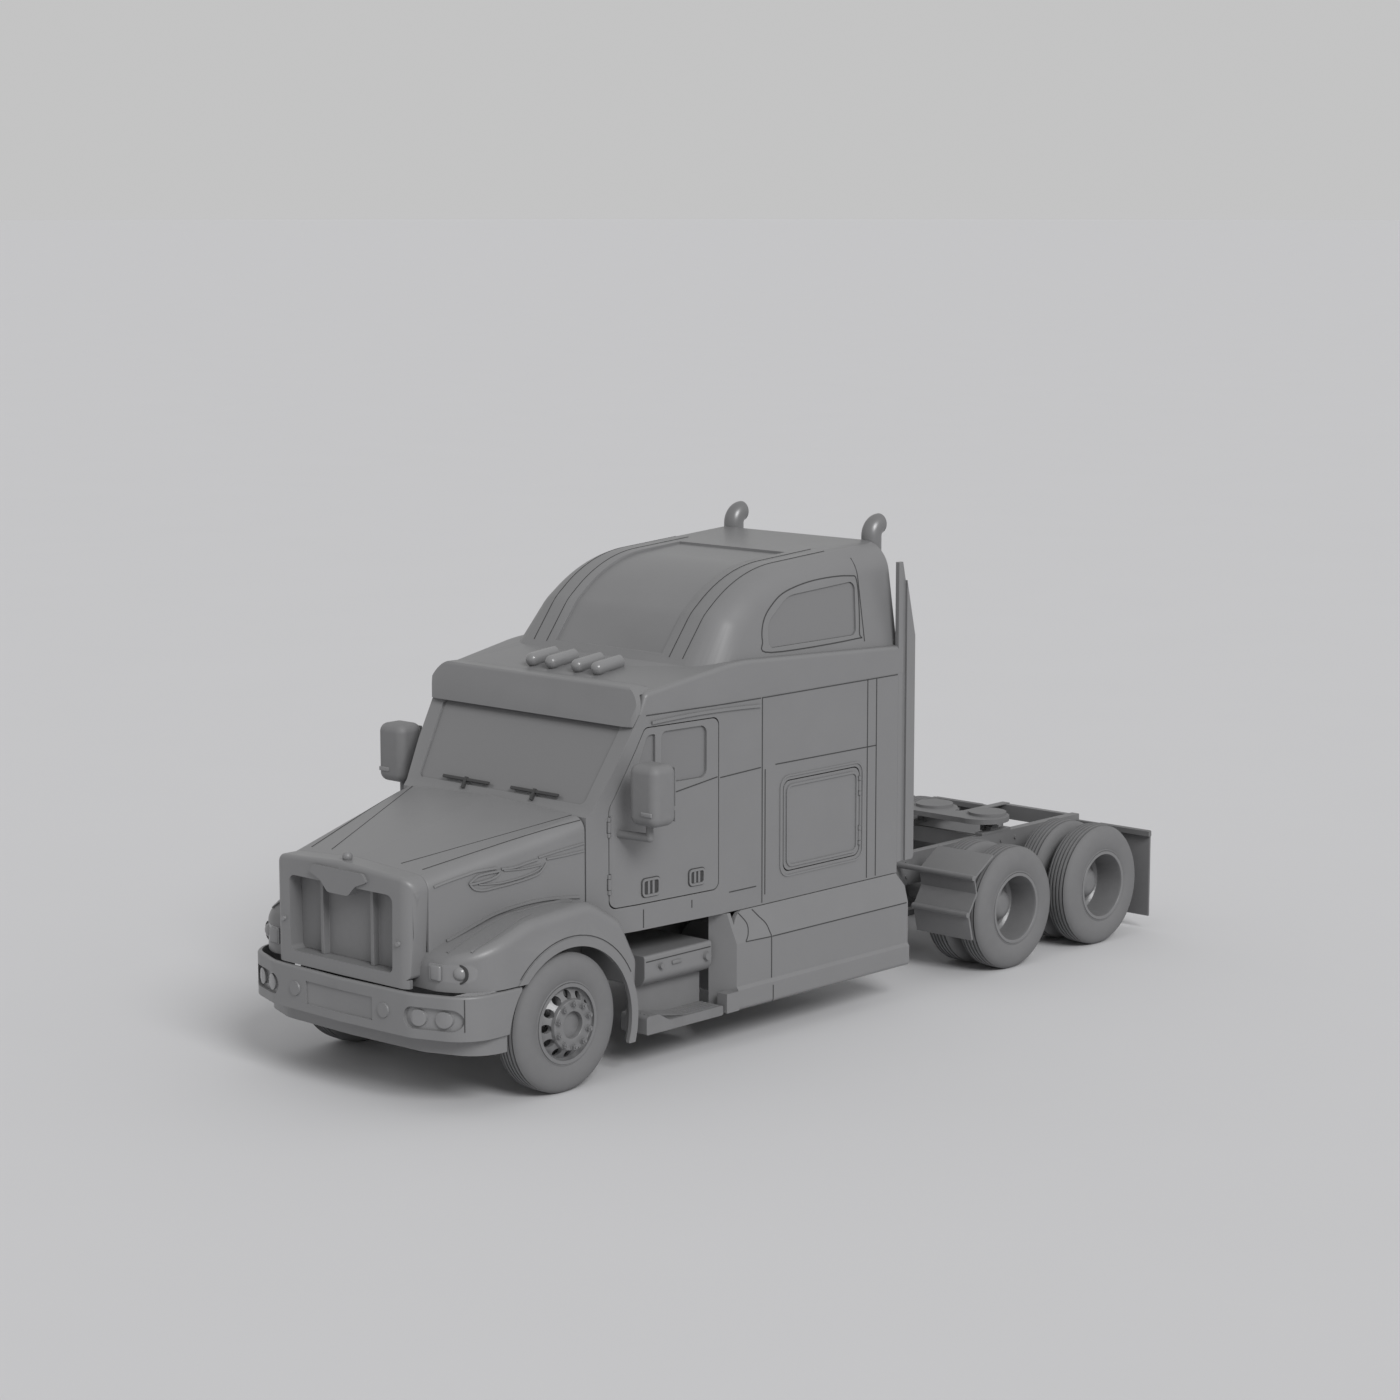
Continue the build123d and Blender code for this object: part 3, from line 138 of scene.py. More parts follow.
def settle(name, bm, body, slot, look=None, both=False, right=False, angle=32):
    # Makes the piece from its mesh; a left-hand piece can be mirrored to both sides or to the right.
    if both:
        bmesh.ops.mirror(bm, geom=bm.verts[:] + bm.edges[:] + bm.faces[:], axis="X", merge_dist=1e-6)
    if right:
        bmesh.ops.scale(bm, vec=(-1, 1, 1), verts=bm.verts)
    bmesh.ops.recalc_face_normals(bm, faces=bm.faces)
    mesh = bpy.data.meshes.new(name)
    bm.to_mesh(mesh)
    bm.free()
    for face in mesh.polygons:
        face.use_smooth = True
    mesh.set_sharp_from_angle(angle=radians(angle))
    piece = bpy.data.objects.new(name, mesh)
    bpy.context.scene.collection.objects.link(piece)
    mesh.materials.append(looks[look or slot])
    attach(piece, body)
    return piece


def merged(node):
    # A copy of a CAD piece's mesh, with its split points joined and its flat faces whole.
    bm = bmesh.new()
    bm.from_mesh(frame["nodes"][node].data)
    bmesh.ops.remove_doubles(bm, verts=bm.verts, dist=1e-5)
    bmesh.ops.dissolve_limit(bm, angle_limit=radians(0.6), verts=bm.verts, edges=bm.edges)
    return bm


def dress(slot, edge, look=None, only=None, form=merged):
    # The CAD pieces of one finish with their edges eased, as pressed and moulded parts have them.
    for node in sorted(only or (n for n, s in node_slot.items() if s == slot)):
        piece = settle(node + "_dressed", form(node), node_body[node], slot, look)
        ease = piece.modifiers.new("eased_edges", "BEVEL")
        ease.width = edge
        ease.segments = 2
        ease.limit_method = "ANGLE"
        ease.angle_limit = radians(40)
        ease.harden_normals = True
        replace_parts(piece, node)


def probe(node, start, toward):
    # Where a straight line meets a CAD piece, and which way its surface faces there.
    if node not in skins:
        bm = bmesh.new()
        bm.from_mesh(frame["nodes"][node].data)
        skins[node] = BVHTree.FromBMesh(bm)
        bm.free()
    return skins[node].ray_cast(Vector(start), Vector(toward))[:2]


CLEAR = 3


def side_point(node, y, z):
    # The place on a piece's left side at a station behind the front axle and a height.
    return probe(node, (CLEAR, front_axle + y, z), (-1, 0, 0))


STUD_SUNK = 0.001


def stud(bm, hit, radius, tall, sides, taper=0.9):
    # A round or six-sided head standing on a surface, its foot sunk a little.
    place, out = hit
    made = bmesh.ops.create_cone(
        bm, cap_ends=True, segments=sides, radius1=radius, radius2=radius * taper, depth=tall)
    turn = out.to_track_quat("Z", "Y").to_matrix().to_4x4()
    seat = Matrix.Translation(place + out * (tall / 2 - STUD_SUNK))
    bmesh.ops.transform(bm, matrix=seat @ turn, verts=made["verts"])


dress("frame_steel", 0.003)
dress("axle_cast", 0.006)
bm = bmesh.new()
for y in (4.02, 4.22, 4.62, 4.82, 5.52, 5.72, 6.12, 6.32):
    for z in (0.745, 0.865):
        stud(bm, side_point("frame", y, z), 0.017, 0.014, 6)
settle("rail_bolts", bm, "chassis", "frame_steel", both=True)

# Tyres: moulded rubber on the rims, with round shoulders and five grooves round the tread.
# A rib where the bead meets the rim keeps the sidewall off the metal.
looks["tyre"] = finish("tyre_rubber", 0.165, 0.75, 0.16, 14, 240, 0.0008)
TYRE_WIDE, BEAD = 0.275, 0.286
GROOVES, GROOVE_DEEP = (-0.072, -0.036, 0.0, 0.036, 0.072), 0.022


def tyre_form(bm, x_in, x_out, axle_y, axle_z, crown):
    middle, half = (x_in + x_out) / 2, (x_out - x_in) / 2
    wall = [(-half + 0.030, BEAD), (-half + 0.017, BEAD + 0.008), (-half + 0.011, BEAD + 0.020),
            (-half + 0.015, BEAD + 0.028), (-half + 0.005, BEAD + 0.052), (-half, BEAD + 0.105),
            (-half + 0.003, BEAD + 0.145), (-half + 0.013, crown - 0.052),
            (-half + 0.027, crown - 0.028), (-half + 0.042, crown - 0.013),
            (-half + 0.056, crown - 0.006)]
    tread = []
    for at in GROOVES:
        top = crown - 0.7 * at * at
        bottom = top - GROOVE_DEEP
        tread += [(at - 0.010, top), (at - 0.007, bottom), (at + 0.007, bottom), (at + 0.010, top)]
    profile = wall + tread + [(-x, r) for x, r in reversed(wall)]
    verts = [bm.verts.new((middle + x, axle_y, axle_z + r)) for x, r in profile]
    edges = [bm.edges.new((verts[i - 1], verts[i])) for i in range(len(verts))]
    bmesh.ops.spin(bm, geom=verts + edges, cent=(middle, axle_y, axle_z), axis=(1, 0, 0),
                   angle=2 * pi, steps=112, use_merge=True)


for node in sorted(n for n, s in node_slot.items() if s == "tyre"):
    bm = bmesh.new()
    low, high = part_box(node)
    twin = high.x - low.x > 2 * TYRE_WIDE
    walls = [(low.x, low.x + TYRE_WIDE), (high.x - TYRE_WIDE, high.x)] if twin else [(low.x, high.x)]
    for x_in, x_out in walls:
        tyre_form(bm, x_in, x_out, (low.y + high.y) / 2, (low.z + high.z) / 2, (high.z - low.z) / 2)
    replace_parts(settle(node + "_grooved", bm, node_body[node], "tyre", angle=40), node)

# Wheels: forged discs held by ten flanged nuts, on the hub plate in front and on the dished disc behind.
# Each nut stands on a round flange, and the end of its stud shows through it.
looks["wheel_metal"] = finish("satin_wheel", 0.205, 0.38, 0.10, 10, 320, 0.0004, metallic=0.2)
dress("wheel_metal", 0.004)
NUT_COUNT = 10
for node in sorted(n for n, s in node_slot.items() if s == "wheel_metal"):
    low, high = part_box(node)
    outward = 1 if low.x > 0 else -1
    hub_y, hub_z = (low.y + high.y) / 2, (low.z + high.z) / 2
    bm = bmesh.new()
    # The radius of the ring of nuts, and of a nut.
    ring, size = (0.162, 0.024) if "front" in node else (0.175, 0.021)
    for i in range(NUT_COUNT):
        turn = 2 * pi * (i + 0.5) / NUT_COUNT
        start = (outward * CLEAR, hub_y + ring * cos(turn), hub_z + ring * sin(turn))
        seat = probe(node, start, (-outward, 0, 0))
        stud(bm, seat, size * 1.25, 0.008, 20)
        stud(bm, seat, size, 0.030, 6, 0.94)
        stud(bm, seat, size * 0.5, 0.040, 12)
    settle(node + "_nuts", bm, node_body[node], "wheel_metal")

# Cab: pressed and moulded panels, all sprayed in one satin grey with a very fine orange peel.
# The panels meet in narrow joints. Each joint is drawn as a near-black strip: painted shade standing for
# the shadow in its gap.
looks["body_paint"] = finish("satin_panel_paint", 0.196, 0.42, 0.10, 3.0, 260, 0.0006, coat=0.12)
# The joint colour is painted shade: near-black strips laid where the gaps between panels fall in shadow.
looks["joint_painted_shade"] = finish("painted_joint_shade", 0.045, 0.7, 0.2, 30, 400, 0.0004)
PANEL_EDGE = 0.006
panels = [n for n, s in node_slot.items() if s == "body_paint" and n != "grille_shell"]
dress("body_paint", PANEL_EDGE, only=panels)


def along(start, end, parts):
    # Points at equal steps between two (u, v) ends, both included.
    return [Vector(start).lerp(Vector(end), i / parts) for i in range(parts + 1)]


STRIP_LIFT = 0.0004


def strip(bm, hits, width, height, closed=False):
    # A flat strip lying on surface points, with its thickness raised off the surface.
    hits = [hit for hit in hits if hit[0] is not None]
    centre = [place for place, out in hits]
    count = len(centre)
    across = []
    for i, (place, out) in enumerate(hits):
        ahead = centre[(i + 1) % count] if closed or i + 1 < count else place
        behind = centre[i - 1] if closed or i else place
        across.append(out.cross(ahead - behind).normalized() * width)
    verts = [bm.verts.new(p + n * STRIP_LIFT - a / 2) for (p, n), a in zip(hits, across)]
    edges = [bm.edges.new((verts[i], verts[i + 1])) for i in range(count - 1)]
    if closed:
        edges.append(bm.edges.new((verts[-1], verts[0])))
    start = [v.co.copy() for v in verts]
    grown = bmesh.ops.extrude_edge_only(bm, edges=edges)["geom"]
    for v in grown:
        if isinstance(v, bmesh.types.BMVert):
            v.co += across[min(range(count), key=lambda i: (start[i] - v.co).length)]
    flat = [f for f in grown if isinstance(f, bmesh.types.BMFace)]
    sides = start + [s + a for s, a in zip(start, across)]
    for v in bmesh.ops.extrude_face_region(bm, geom=flat)["geom"]:
        if isinstance(v, bmesh.types.BMVert):
            nearest = min(range(2 * count), key=lambda i: (sides[i] - v.co).length)
            v.co += hits[nearest % count][1] * height


def side_strip(bm, node, points, width, height, closed=False):
    # A strip on a piece's left side, through (station, height) points.
    strip(bm, [side_point(node, *p) for p in points], width, height, closed)


def top_strip(bm, node, points, width, height, above=5):
    # A strip on a piece's upper side, through (X, station) points.
    hits = [probe(node, (x, front_axle + y, above), (0, 0, -1)) for x, y in points]
    strip(bm, hits, width, height)


SEAM, FINE_SEAM, SEAM_HIGH = 0.0075, 0.006, 0.0025
# Each row: a joint's two ends as (station, height), and the steps along it.
cab_joint_shade = [
    ((1.70, 2.10), (2.15, 2.12), 2), ((0.918, 1.06), (0.918, 1.20), 1), ((1.407, 1.14), (1.407, 1.20), 1),
    ((1.80, 1.20), (2.10, 1.20), 2), ((0.95, 2.657), (2.15, 2.657), 12),
]
bm = bmesh.new()
for start, end, parts in cab_joint_shade:
    side_strip(bm, "cab_shell", along(start, end, parts), SEAM, SEAM_HIGH)
settle("cab_joint_shade", bm, "chassis", "flap_rubber", "joint_painted_shade", both=True)

# Drip mouldings: a bead bonded over each door that throws rain rearwards.
# It dips at both ends and stands a little off the skin.
bm = bmesh.new()
drip = [(y, 2.598 + 0.02 * sin(pi * (y - 0.98) / 1.2)) for y, z in along((1.0, 0), (2.14, 0), 16)]
side_strip(bm, "cab_shell", drip, 0.022, 0.016)
settle("drip_mouldings", bm, "chassis", "body_paint", both=True)

# Doors: pressed skins with a belt joint, and two cabin outlets low on each, a rim round upright slots.
# The mirror heads on them carry a flat pane over a small wide-angle one, and a turn lens in front.
looks["glazing"] = finish("tinted_pane", 0.18, 0.2, 0.04, 1.5, 30, 0.0001, coat=0.3)
looks["lens"] = finish("ribbed_lens", 0.22, 0.22, 0.08, 40, 120, 0.0006, coat=0.4)
dress("glazing", 0.003)
dress("lens", 0.004)
# Each row: the station and height of an outlet's middle, its length along the door and its own height.
outlet_rows = ((0.99, 1.362, 0.16, 0.12), (1.455, 1.371, 0.145, 0.108))


def front_point(node, x, z):
    # The place on a piece's front at an X and a height.
    return probe(node, (x, front_axle - CLEAR, z), (0, 1, 0))


def round_box(u, v, length, height, corner, steps=5):
    # Points round a rectangle with rounded corners.
    points = []
    for turn, (su, sv) in enumerate(((1, 1), (-1, 1), (-1, -1), (1, -1))):
        for i in range(steps + 1):
            angle = pi / 2 * (turn + i / steps)
            points.append((u + su * (length / 2 - corner) + corner * cos(angle),
                           v + sv * (height / 2 - corner) + corner * sin(angle)))
    return points


def slab(bm, centre, size, ease):
    # A block with eased edges.
    made = bmesh.ops.create_cube(bm, size=1)["verts"]
    bmesh.ops.scale(bm, vec=size, verts=made)
    bmesh.ops.translate(bm, vec=centre, verts=made)
    edges = list(dict.fromkeys(edge for vert in made for edge in vert.link_edges))
    bmesh.ops.bevel(bm, geom=edges, offset=ease, affect="EDGES", segments=3, profile=0.5, material=-1)


for side in ("left", "right"):
    turned = side == "right"
    body = "door_" + side
    bm = bmesh.new()
    for y, z, length, height in outlet_rows:
        rim = round_box(y, z, length, height, 0.025)
        side_strip(bm, "door_left", rim, 0.018, 0.012, closed=True)
        for at in (y - length / 7, y + length / 7):
            bar = along((at, z - height / 2 + 0.01), (at, z + height / 2 - 0.01), 1)
            side_strip(bm, "door_left", bar, 0.020, 0.008)
    settle("door_outlets_" + side, bm, body, "body_paint", right=turned)
    # The sheet behind each outlet's slots, the outline round each outlet and the belt joint are
    # near-black: painted shade in the openings and gaps.
    bm = bmesh.new()
    for y, z, length, height in outlet_rows:
        back = along((y - length / 2 + 0.008, z), (y + length / 2 - 0.008, z), 2)
        side_strip(bm, "door_left", back, height - 0.016, SEAM_HIGH)
        rim = round_box(y, z, length + 0.024, height + 0.024, 0.032)
        side_strip(bm, "door_left", rim, FINE_SEAM, SEAM_HIGH, closed=True)
    belt = along((1.12, 2.030), (1.67, 2.110), 4)
    side_strip(bm, "door_left", belt, SEAM, SEAM_HIGH)
    settle("door_painted_shade_" + side, bm, body, "flap_rubber", "joint_painted_shade", right=turned)
    bm = bmesh.new()
    for z, height in ((2.185, 0.29), (1.968, 0.085)):
        place = probe("mirror_left", (1.36, front_axle + CLEAR, z), (0, -1, 0))[0]
        slab(bm, place, (0.225, 0.012, height), 0.005)
    settle("mirror_panes_" + side, bm, body, "glazing", right=turned)
    bm = bmesh.new()
    place = front_point("mirror_left", 1.415, 2.0)[0]
    slab(bm, place, (0.11, 0.014, 0.034), 0.006)
    settle("turn_lens_" + side, bm, body, "lens", right=turned)

# Sleeper: flat flanks behind the cab with a belt joint and two strip joints near the rear corner.
# Each baggage door has a raised rim and stands in a pressed surround.
# Each row: a joint's two ends as (station, height).
sleeper_joint_shade = [
    ((2.166, 1.06), (2.166, 2.66)), ((2.20, 1.12), (2.20, 2.10)), ((2.32, 2.122), (3.53, 2.118)),
    ((3.42, 1.06), (3.42, 2.66)), ((3.53, 1.06), (3.53, 2.66)), ((2.17, 2.657), (3.79, 2.657)),
]
# The joints are near-black strips: painted shade in their gaps.
bm = bmesh.new()
for start, end in sleeper_joint_shade:
    side_strip(bm, "sleeper_shell", along(start, end, 1), SEAM, SEAM_HIGH)
settle("sleeper_joint_shade", bm, "chassis", "flap_rubber", "joint_painted_shade", both=True)
BAGGAGE_Y, BAGGAGE_Z = 2.87, 1.62
bm = bmesh.new()
surround = round_box(BAGGAGE_Y, BAGGAGE_Z, 0.985, 0.785, 0.09)
side_strip(bm, "sleeper_shell", surround, 0.014, 0.007, closed=True)
settle("baggage_surrounds", bm, "chassis", "body_paint", both=True)
for side in ("left", "right"):
    bm = bmesh.new()
    rim = round_box(BAGGAGE_Y, BAGGAGE_Z, 0.834, 0.634, 0.055)
    side_strip(bm, "baggage_door_left", rim, 0.018, 0.010, closed=True)
    settle("baggage_rim_" + side, bm, "baggage_door_" + side, "body_paint", right=side == "right")

# Roof fairing: one glass-fibre moulding; a joint on each flank and along both edges of the sunk panel.
# The fixed panes are ringed by a near-black strip, and the joints are near-black strips too: painted shade
# round the panes and in the gaps.
bm = bmesh.new()
side_strip(bm, "roof_fairing", along((3.47, 2.95), (3.47, 3.60), 12), SEAM, SEAM_HIGH)
for x in (0.66, 0.80):
    top_strip(bm, "roof_fairing", along((x, 1.66), (x, 3.30), 40), FINE_SEAM, SEAM_HIGH)


def rounded(corners, closed, steps=6):
    # Passes a smooth curve through a few corners.
    count = len(corners)
    points = []
    for i in range(count if closed else count - 1):
        near = [j % count if closed else min(max(j, 0), count - 1) for j in range(i - 1, i + 3)]
        a, b, c, d = (Vector(corners[j]) for j in near)
        for s in range(steps):
            t = s / steps
            bend = (2 * a - 5 * b + 4 * c - d) * t * t + (3 * b - a - 3 * c + d) * t ** 3
            points.append(0.5 * (2 * b + (c - a) * t + bend))
    if not closed:
        points.append(Vector(corners[-1]))
    return points


pane_line = [(2.275, 3.075), (2.31, 3.22), (2.42, 3.33), (2.60, 3.42), (2.95, 3.475), (3.36, 3.475),
             (3.455, 3.41), (3.42, 3.03), (3.35, 2.98), (2.36, 2.978)]
side_strip(bm, "roof_fairing", rounded(pane_line, True), 0.009, SEAM_HIGH, closed=True)
settle("fairing_joint_shade", bm, "chassis", "flap_rubber", "joint_painted_shade", both=True)

# Bonnet: a glass-fibre shell with joints along its top and a two-bladed leaf bonded to each flank.
# Beads run over the fenders' crowns. The grille shell moulded to its front end has its upper
# front edge turned well over.
NOSE_TURN = 0.032


def round_nosed(node):
    # Turns over the edge where the bowed front wall meets the shell's outline, above and behind the badge.
    bm = merged(node)
    low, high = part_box(node)
    turned = []
    for edge in bm.edges:
        middle = (edge.verts[0].co + edge.verts[1].co) / 2
        near = middle.y > low.y + 0.01 and middle.z > high.z - 0.22
        if near and len(edge.link_faces) == 2:
            wall, line = sorted(edge.link_faces, key=lambda face: face.normal.y)
            upright = wall.normal.y < -0.02 and abs(wall.normal.z) < 0.05
            outer = line.normal.dot(middle - (low + high) / 2) > 0.1 and abs(line.normal.y) < 0.05
            if upright and outer and edge.calc_face_angle_signed() > 0.25:
                turned.append(edge)
    bmesh.ops.bevel(
        bm, geom=turned, offset=NOSE_TURN, affect="EDGES", segments=4, profile=0.5, material=-1)
    return bm


dress("body_paint", PANEL_EDGE, only=["grille_shell"], form=round_nosed)
# Each row: points as (station, height), closed or open, width, height off the skin.
flank_lines = [
    ([(-0.885, 1.606), (-0.835, 1.619), (-0.724, 1.641), (-0.604, 1.662), (-0.52, 1.675), (-0.361, 1.680)],
     False, 0.016, 0.012),
    ([(0.0, 1.712), (0.176, 1.738), (0.40, 1.766)], False, 0.014, 0.010),
    ([(0.07, 1.690), (0.224, 1.697), (0.40, 1.711)], False, 0.014, 0.010),
    ([(-0.587, 1.587), (-0.55, 1.549), (-0.476, 1.531), (-0.381, 1.537), (-0.248, 1.549), (-0.115, 1.566),
      (-0.009, 1.589), (0.04, 1.628), (0.066, 1.661)], False, 0.014, 0.013),
    ([(-0.587, 1.590), (-0.559, 1.620), (-0.502, 1.645), (-0.352, 1.654), (-0.333, 1.643), (-0.38, 1.613),
      (-0.475, 1.596)], True, 0.015, 0.015),
    ([(-0.32, 1.666), (-0.209, 1.664), (-0.114, 1.681), (-0.008, 1.698)], False, 0.014, 0.013),
    ([(-0.30, 1.652), (-0.133, 1.645), (0.021, 1.655)], False, 0.010, 0.010),
    ([(-0.512, 1.577), (-0.40, 1.568), (-0.305, 1.566), (-0.153, 1.582), (-0.018, 1.613), (0.03, 1.641)],
     False, 0.010, 0.010),
    ([(-0.788, 1.205), (-0.657, 1.250), (-0.544, 1.291), (-0.402, 1.340), (-0.25, 1.370), (-0.116, 1.387),
      (0.028, 1.394), (0.192, 1.388), (0.36, 1.372)], False, 0.020, 0.016),
]
bm = bmesh.new()
for points, closed, width, height in flank_lines:
    side_strip(bm, "hood_shell", rounded(points, closed), width, height, closed)
# Each row: points as (X, station).
crown_lines = [
    [(0.905, -0.90), (0.897, -0.75), (0.897, -0.55), (0.915, -0.40), (0.935, -0.20), (0.955, 0.0),
     (1.0, 0.11), (1.09, 0.17)],
    [(1.077, -0.83), (1.082, -0.68), (1.080, -0.50), (1.072, -0.35), (1.05, -0.20)],
]
for points in crown_lines:
    top_strip(bm, "fenders", rounded(points, False), 0.018, 0.010)
settle("bonnet_mouldings", bm, "bonnet", "body_paint", both=True)
# The joints along the top and the line round the wheel arch are near-black strips: painted shade in the
# gaps.
bm = bmesh.new()
for start, end in (((0.375, -0.85), (0.86, 0.40)), ((0.60, -0.85), (0.945, 0.40))):
    top_strip(bm, "hood_shell", along(start, end, 8), FINE_SEAM, SEAM_HIGH)
arch_y, arch_z, arch_r = 0.05, 0.46, 0.70
arch_turns = [radians(a) for a in range(28, 158, 5)]
arch_line = [(arch_y + arch_r * cos(a), arch_z + arch_r * sin(a)) for a in arch_turns]
side_strip(bm, "fenders", arch_line, FINE_SEAM, SEAM_HIGH)
settle("bonnet_joint_shade", bm, "bonnet", "flap_rubber", "joint_painted_shade", both=True)

# Head lamps: a round lens on each fender, ringed by a near-black rim in the colour of the painted joint
# shade, with a square marker lens beside it.
# A small catch on the grille shell holds its frame.


def hoop(bm, centre, out, radius, width, tall):
    # A flat-sided ring standing on a point, turned about the way it faces.
    across = out.orthogonal().normalized()
    section = ((radius, 0), (radius + width, 0), (radius + width, tall), (radius, tall))
    verts = [bm.verts.new(centre + across * r + out * h) for r, h in section]
    edges = [bm.edges.new((verts[i - 1], verts[i])) for i in range(4)]
    bmesh.ops.spin(bm, geom=verts + edges, cent=centre, axis=out, angle=2 * pi, steps=40, use_merge=True)


lamp_z = 1.02
bm = bmesh.new()
stud(bm, front_point("grille_shell", 0.619, 1.211), 0.02, 0.02, 20)
place = front_point("head_lamps", 0.875, lamp_z)[0]
slab(bm, place, (0.105, 0.03, 0.115), 0.014)
settle("corner_lenses", bm, "bonnet", "lens", both=True)
# The rims are near-black, in the painted joint shade.
bm = bmesh.new()
ball = front_point("head_lamps", 1.02, lamp_z)[0]
hoop(bm, ball + Vector((0, 0.050, 0)), Vector((0.3, -1, 0)).normalized(), 0.060, 0.014, 0.022)
settle("lamp_rims", bm, "bonnet", "flap_rubber", "joint_painted_shade", both=True)

# Bumper: one steel pressing bolted to the rail ends; round blanks stand beside its lamps,
# and the ends are welded on behind a joint at each corner.
bm = bmesh.new()
stud(bm, front_point("bumper", 0.48, 0.71), 0.057, 0.013, 40, 0.92)
settle("bumper_blanks", bm, "chassis", "body_paint", both=True)
# The corner joint is a near-black strip: painted shade in its gap.
bm = bmesh.new()
side_strip(bm, "bumper", along((-0.945, 0.62), (-0.945, 0.89), 8), SEAM, SEAM_HIGH)
settle("bumper_joint_shade", bm, "chassis", "flap_rubber", "joint_painted_shade", both=True)

# Skirts, steps, stacks and flaps: grained mouldings and satin steel screwed to brackets on the rails.
# The battery lids are held by round knobs, and the treads have ribs.
looks["moulding"] = finish("grained_moulding", 0.185, 0.58, 0.12, 20, 500, 0.0008)
# The wipers are near-black: painted shade standing for the contact shadows that darken them.
looks["wiper_painted_shade"] = finish("painted_wiper_shade", 0.05, 0.65, 0.12, 20, 500, 0.0006)
looks["flap_rubber"] = finish("flap_rubber", 0.155, 0.8, 0.15, 18, 200, 0.0010)
looks["stack_steel"] = finish("satin_stack", 0.205, 0.36, 0.14, 6, 300, 0.0004, metallic=0.35)
mouldings = [n for n, s in node_slot.items() if s == "moulding" and n != "wipers"]
dress("moulding", 0.004, only=mouldings)
dress(node_slot["wipers"], 0.003, "wiper_painted_shade", only=["wipers"])
dress("flap_rubber", 0.004)
dress("stack_steel", 0.004)
# The skirts' and battery boxes' joints are near-black strips: painted shade in their gaps.
bm = bmesh.new()
# Each row: points as (station, height).
skirt_lines = [
    [(2.042, 1.029), (2.102, 0.967), (2.163, 0.906), (2.188, 0.841), (2.199, 0.79), (2.20, 0.65),
     (2.20, 0.475)],
    [(2.20, 0.42), (2.20, 0.29)],
    [(1.884, 1.025), (1.945, 0.955), (1.958, 0.906), (1.940, 0.850), (1.905, 0.810)],
    [(1.905, 0.808), (2.19, 0.800)],
    [(2.21, 0.800), (3.84, 0.800)],
]
for points in skirt_lines:
    side_strip(bm, "side_fairings", rounded(points, False), SEAM, SEAM_HIGH)
side_strip(bm, "battery_boxes", along((0.935, 0.795), (1.645, 0.795), 2), SEAM, SEAM_HIGH)
settle("skirt_joint_shade", bm, "chassis", "flap_rubber", "joint_painted_shade", both=True)
bm = bmesh.new()
for y, z, size in ((1.09, 0.745, 0.026), (1.596, 0.732, 0.036)):
    stud(bm, side_point("battery_boxes", y, z), size, 0.03, 24, 0.85)
slab(bm, side_point("battery_boxes", 1.265, 0.746)[0], (0.03, 0.10, 0.03), 0.008)
settle("lid_knobs", bm, "chassis", "moulding", both=True)
bm = bmesh.new()
for x in (1.03, 1.07, 1.11, 1.15, 1.19):
    top_strip(bm, "steps", [(x, y) for y in (0.86, 1.24, 1.62)], 0.012, 0.005, above=0.5)
settle("tread_ribs", bm, "chassis", node_slot["steps"], both=True)

# Seats and bunk: foam cushions under woven covers, crowned and pulled in at the seams.
# They stand on pedestals bolted to the floor and on the bunk's tray.
looks["upholstery"] = finish("woven_cover", 0.19, 0.85, 0.12, 25, 900, 0.0012)
seat_low, seat_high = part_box("seats_and_bunk")


def cushion(name, low, high, crown, cuts):
    # A block drawn in along its edges and corners, so that its faces stand crowned.
    bm = bmesh.new()
    bmesh.ops.create_cube(bm, size=1)
    size = Vector(high) - Vector(low)
    bmesh.ops.scale(bm, vec=size, verts=bm.verts)
    bmesh.ops.subdivide_edges(bm, edges=bm.edges[:], cuts=cuts, use_grid_fill=True)
    for v in bm.verts:
        fx, fy, fz = (abs(2 * v.co[i] / size[i]) for i in range(3))
        v.co *= 1 - crown * max(fx * fy, fy * fz, fx * fz) ** 3
    bmesh.ops.translate(bm, vec=(Vector(low) + Vector(high)) / 2, verts=bm.verts)
    piece = settle(name, bm, "chassis", "upholstery", angle=80)
    soften = piece.modifiers.new("soft_form", "SUBSURF")
    soften.levels = soften.render_levels = 1
    return piece


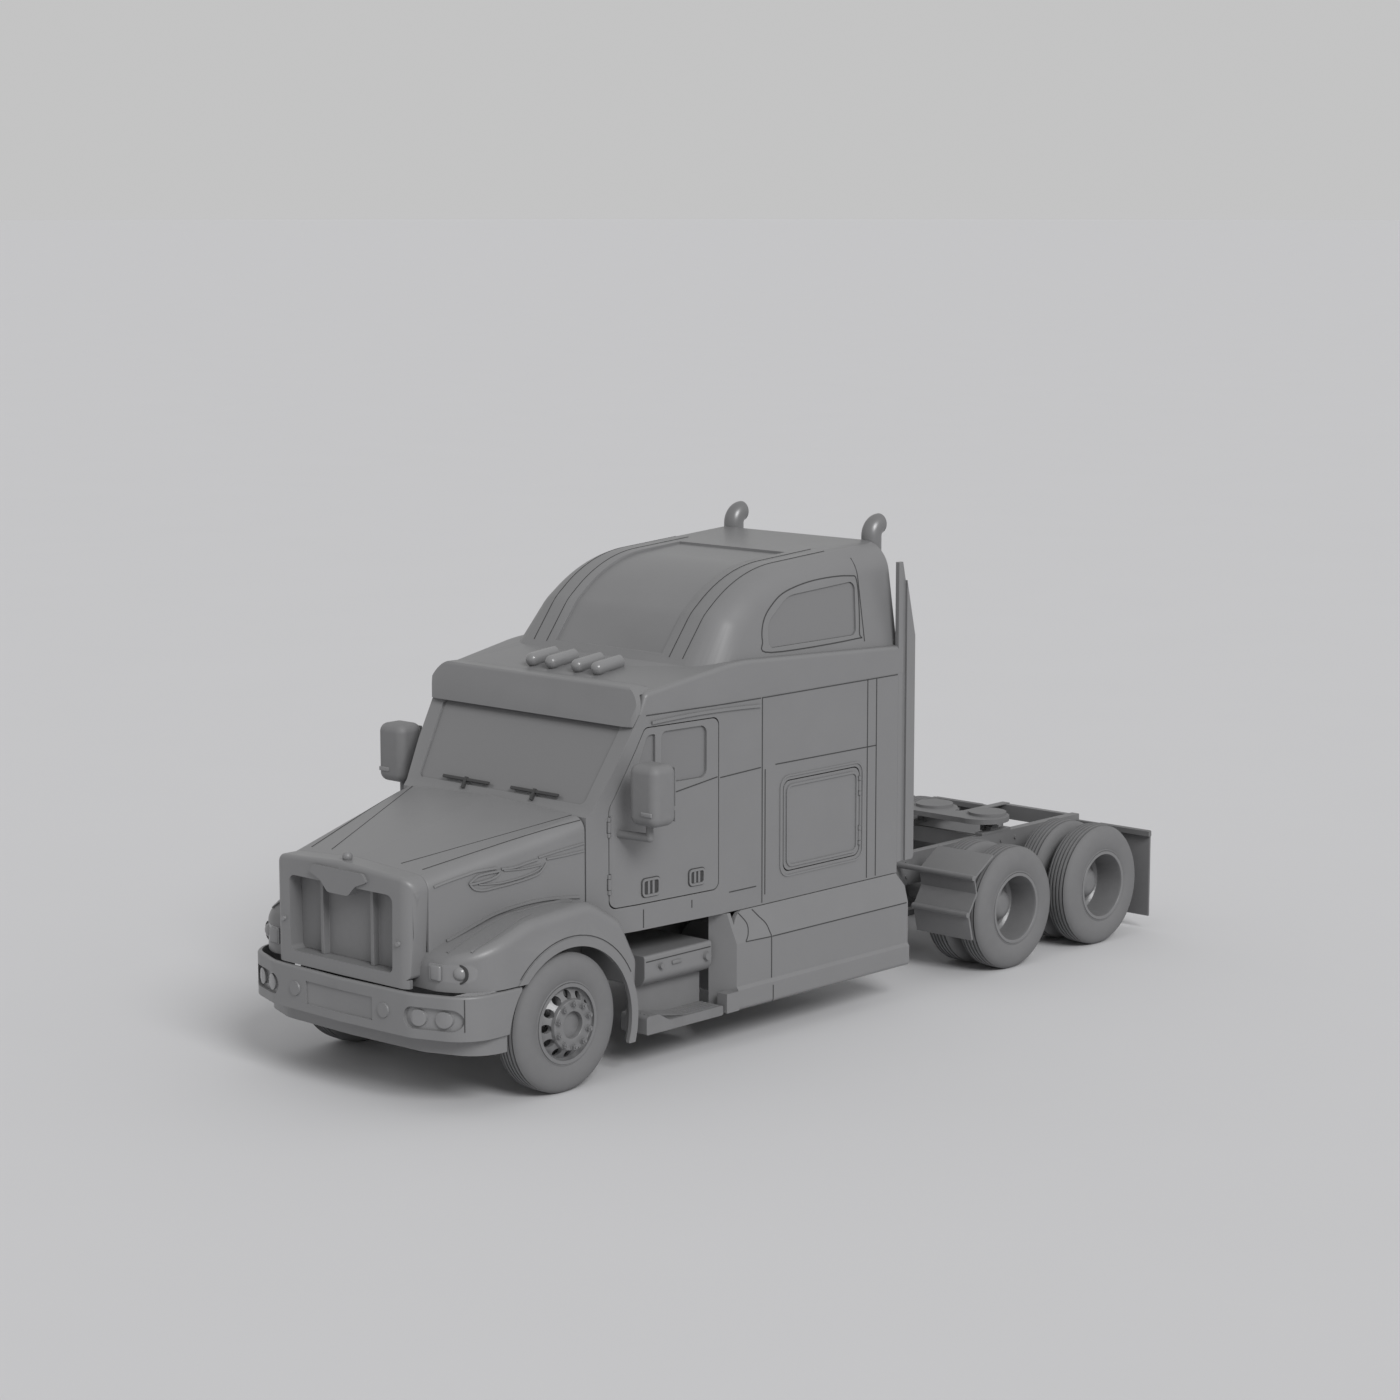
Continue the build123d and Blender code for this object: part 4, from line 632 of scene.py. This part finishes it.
seat_y, floor_z = seat_low.y, seat_low.z
for side, x in (("left", 0.52), ("right", -0.52)):
    cushion("seat_cushion_" + side, (x - 0.25, seat_y, floor_z + 0.215),
            (x + 0.25, seat_y + 0.50, floor_z + 0.365), 0.06, 7)
    cushion("seat_back_" + side, (x - 0.24, seat_y + 0.42, floor_z + 0.36),
            (x + 0.24, seat_y + 0.55, floor_z + 1.045), 0.06, 7)
    bm = bmesh.new()
    bmesh.ops.create_cone(bm, cap_ends=True, segments=24, radius1=0.18, radius2=0.12, depth=0.215)
    bmesh.ops.translate(bm, vec=(x, seat_y + 0.24, floor_z + 0.1075), verts=bm.verts)
    settle("seat_pedestal_" + side, bm, "chassis", "moulding")
bunk = cushion("bunk_mattress", (seat_low.x, seat_high.y - 0.95, floor_z + 0.515),
               (seat_high.x, seat_high.y, floor_z + 0.715), 0.03, 9)
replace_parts(bunk, "seats_and_bunk")

# Stage: a wide pale floor under an even sky, a soft sun from the right of the camera,
# and the photograph's own view.
bm = bmesh.new()
bmesh.ops.create_circle(bm, cap_ends=True, segments=96, radius=400)
floor_mesh = bpy.data.meshes.new("pale_floor")
bm.to_mesh(floor_mesh)
bm.free()
floor = bpy.data.objects.new("pale_floor", floor_mesh)
bpy.context.scene.collection.objects.link(floor)
floor_mesh.materials.append(finish("floor_paint", 0.62, 0.9, 0.02, 0.5, 20, 0.0002))
world = bpy.data.worlds.new("studio")
bpy.context.scene.world = world
world.use_nodes = True
sky = world.node_tree.nodes["Background"]
sky.inputs["Color"].default_value = (1, 1, 1, 1)
sky.inputs["Strength"].default_value = 0.55
sun = bpy.data.lights.new("soft_sun", "SUN")
sun.energy = 1.75
sun.angle = radians(24)
sun_holder = bpy.data.objects.new("soft_sun", sun)
sun_holder.rotation_euler = Vector((-16, 6, -13)).to_track_quat("-Z", "Y").to_euler()
bpy.context.scene.collection.objects.link(sun_holder)

view_from = Vector((18.058, front_axle - 16.889, 6.671))
view_to = Vector((1.516, front_axle + 1.077, 2.805))
camera = bpy.data.cameras.new("photo_view")
camera.sensor_width = 36
camera.lens = 18 / tan(radians(23.40 / 2))
camera.clip_end = 1000
camera_holder = bpy.data.objects.new("photo_view", camera)
camera_holder.location = view_from
camera_holder.rotation_euler = (view_to - view_from).to_track_quat("-Z", "Y").to_euler()
bpy.context.scene.collection.objects.link(camera_holder)
bpy.context.scene.camera = camera_holder
bpy.context.scene.view_settings.view_transform = "Standard"
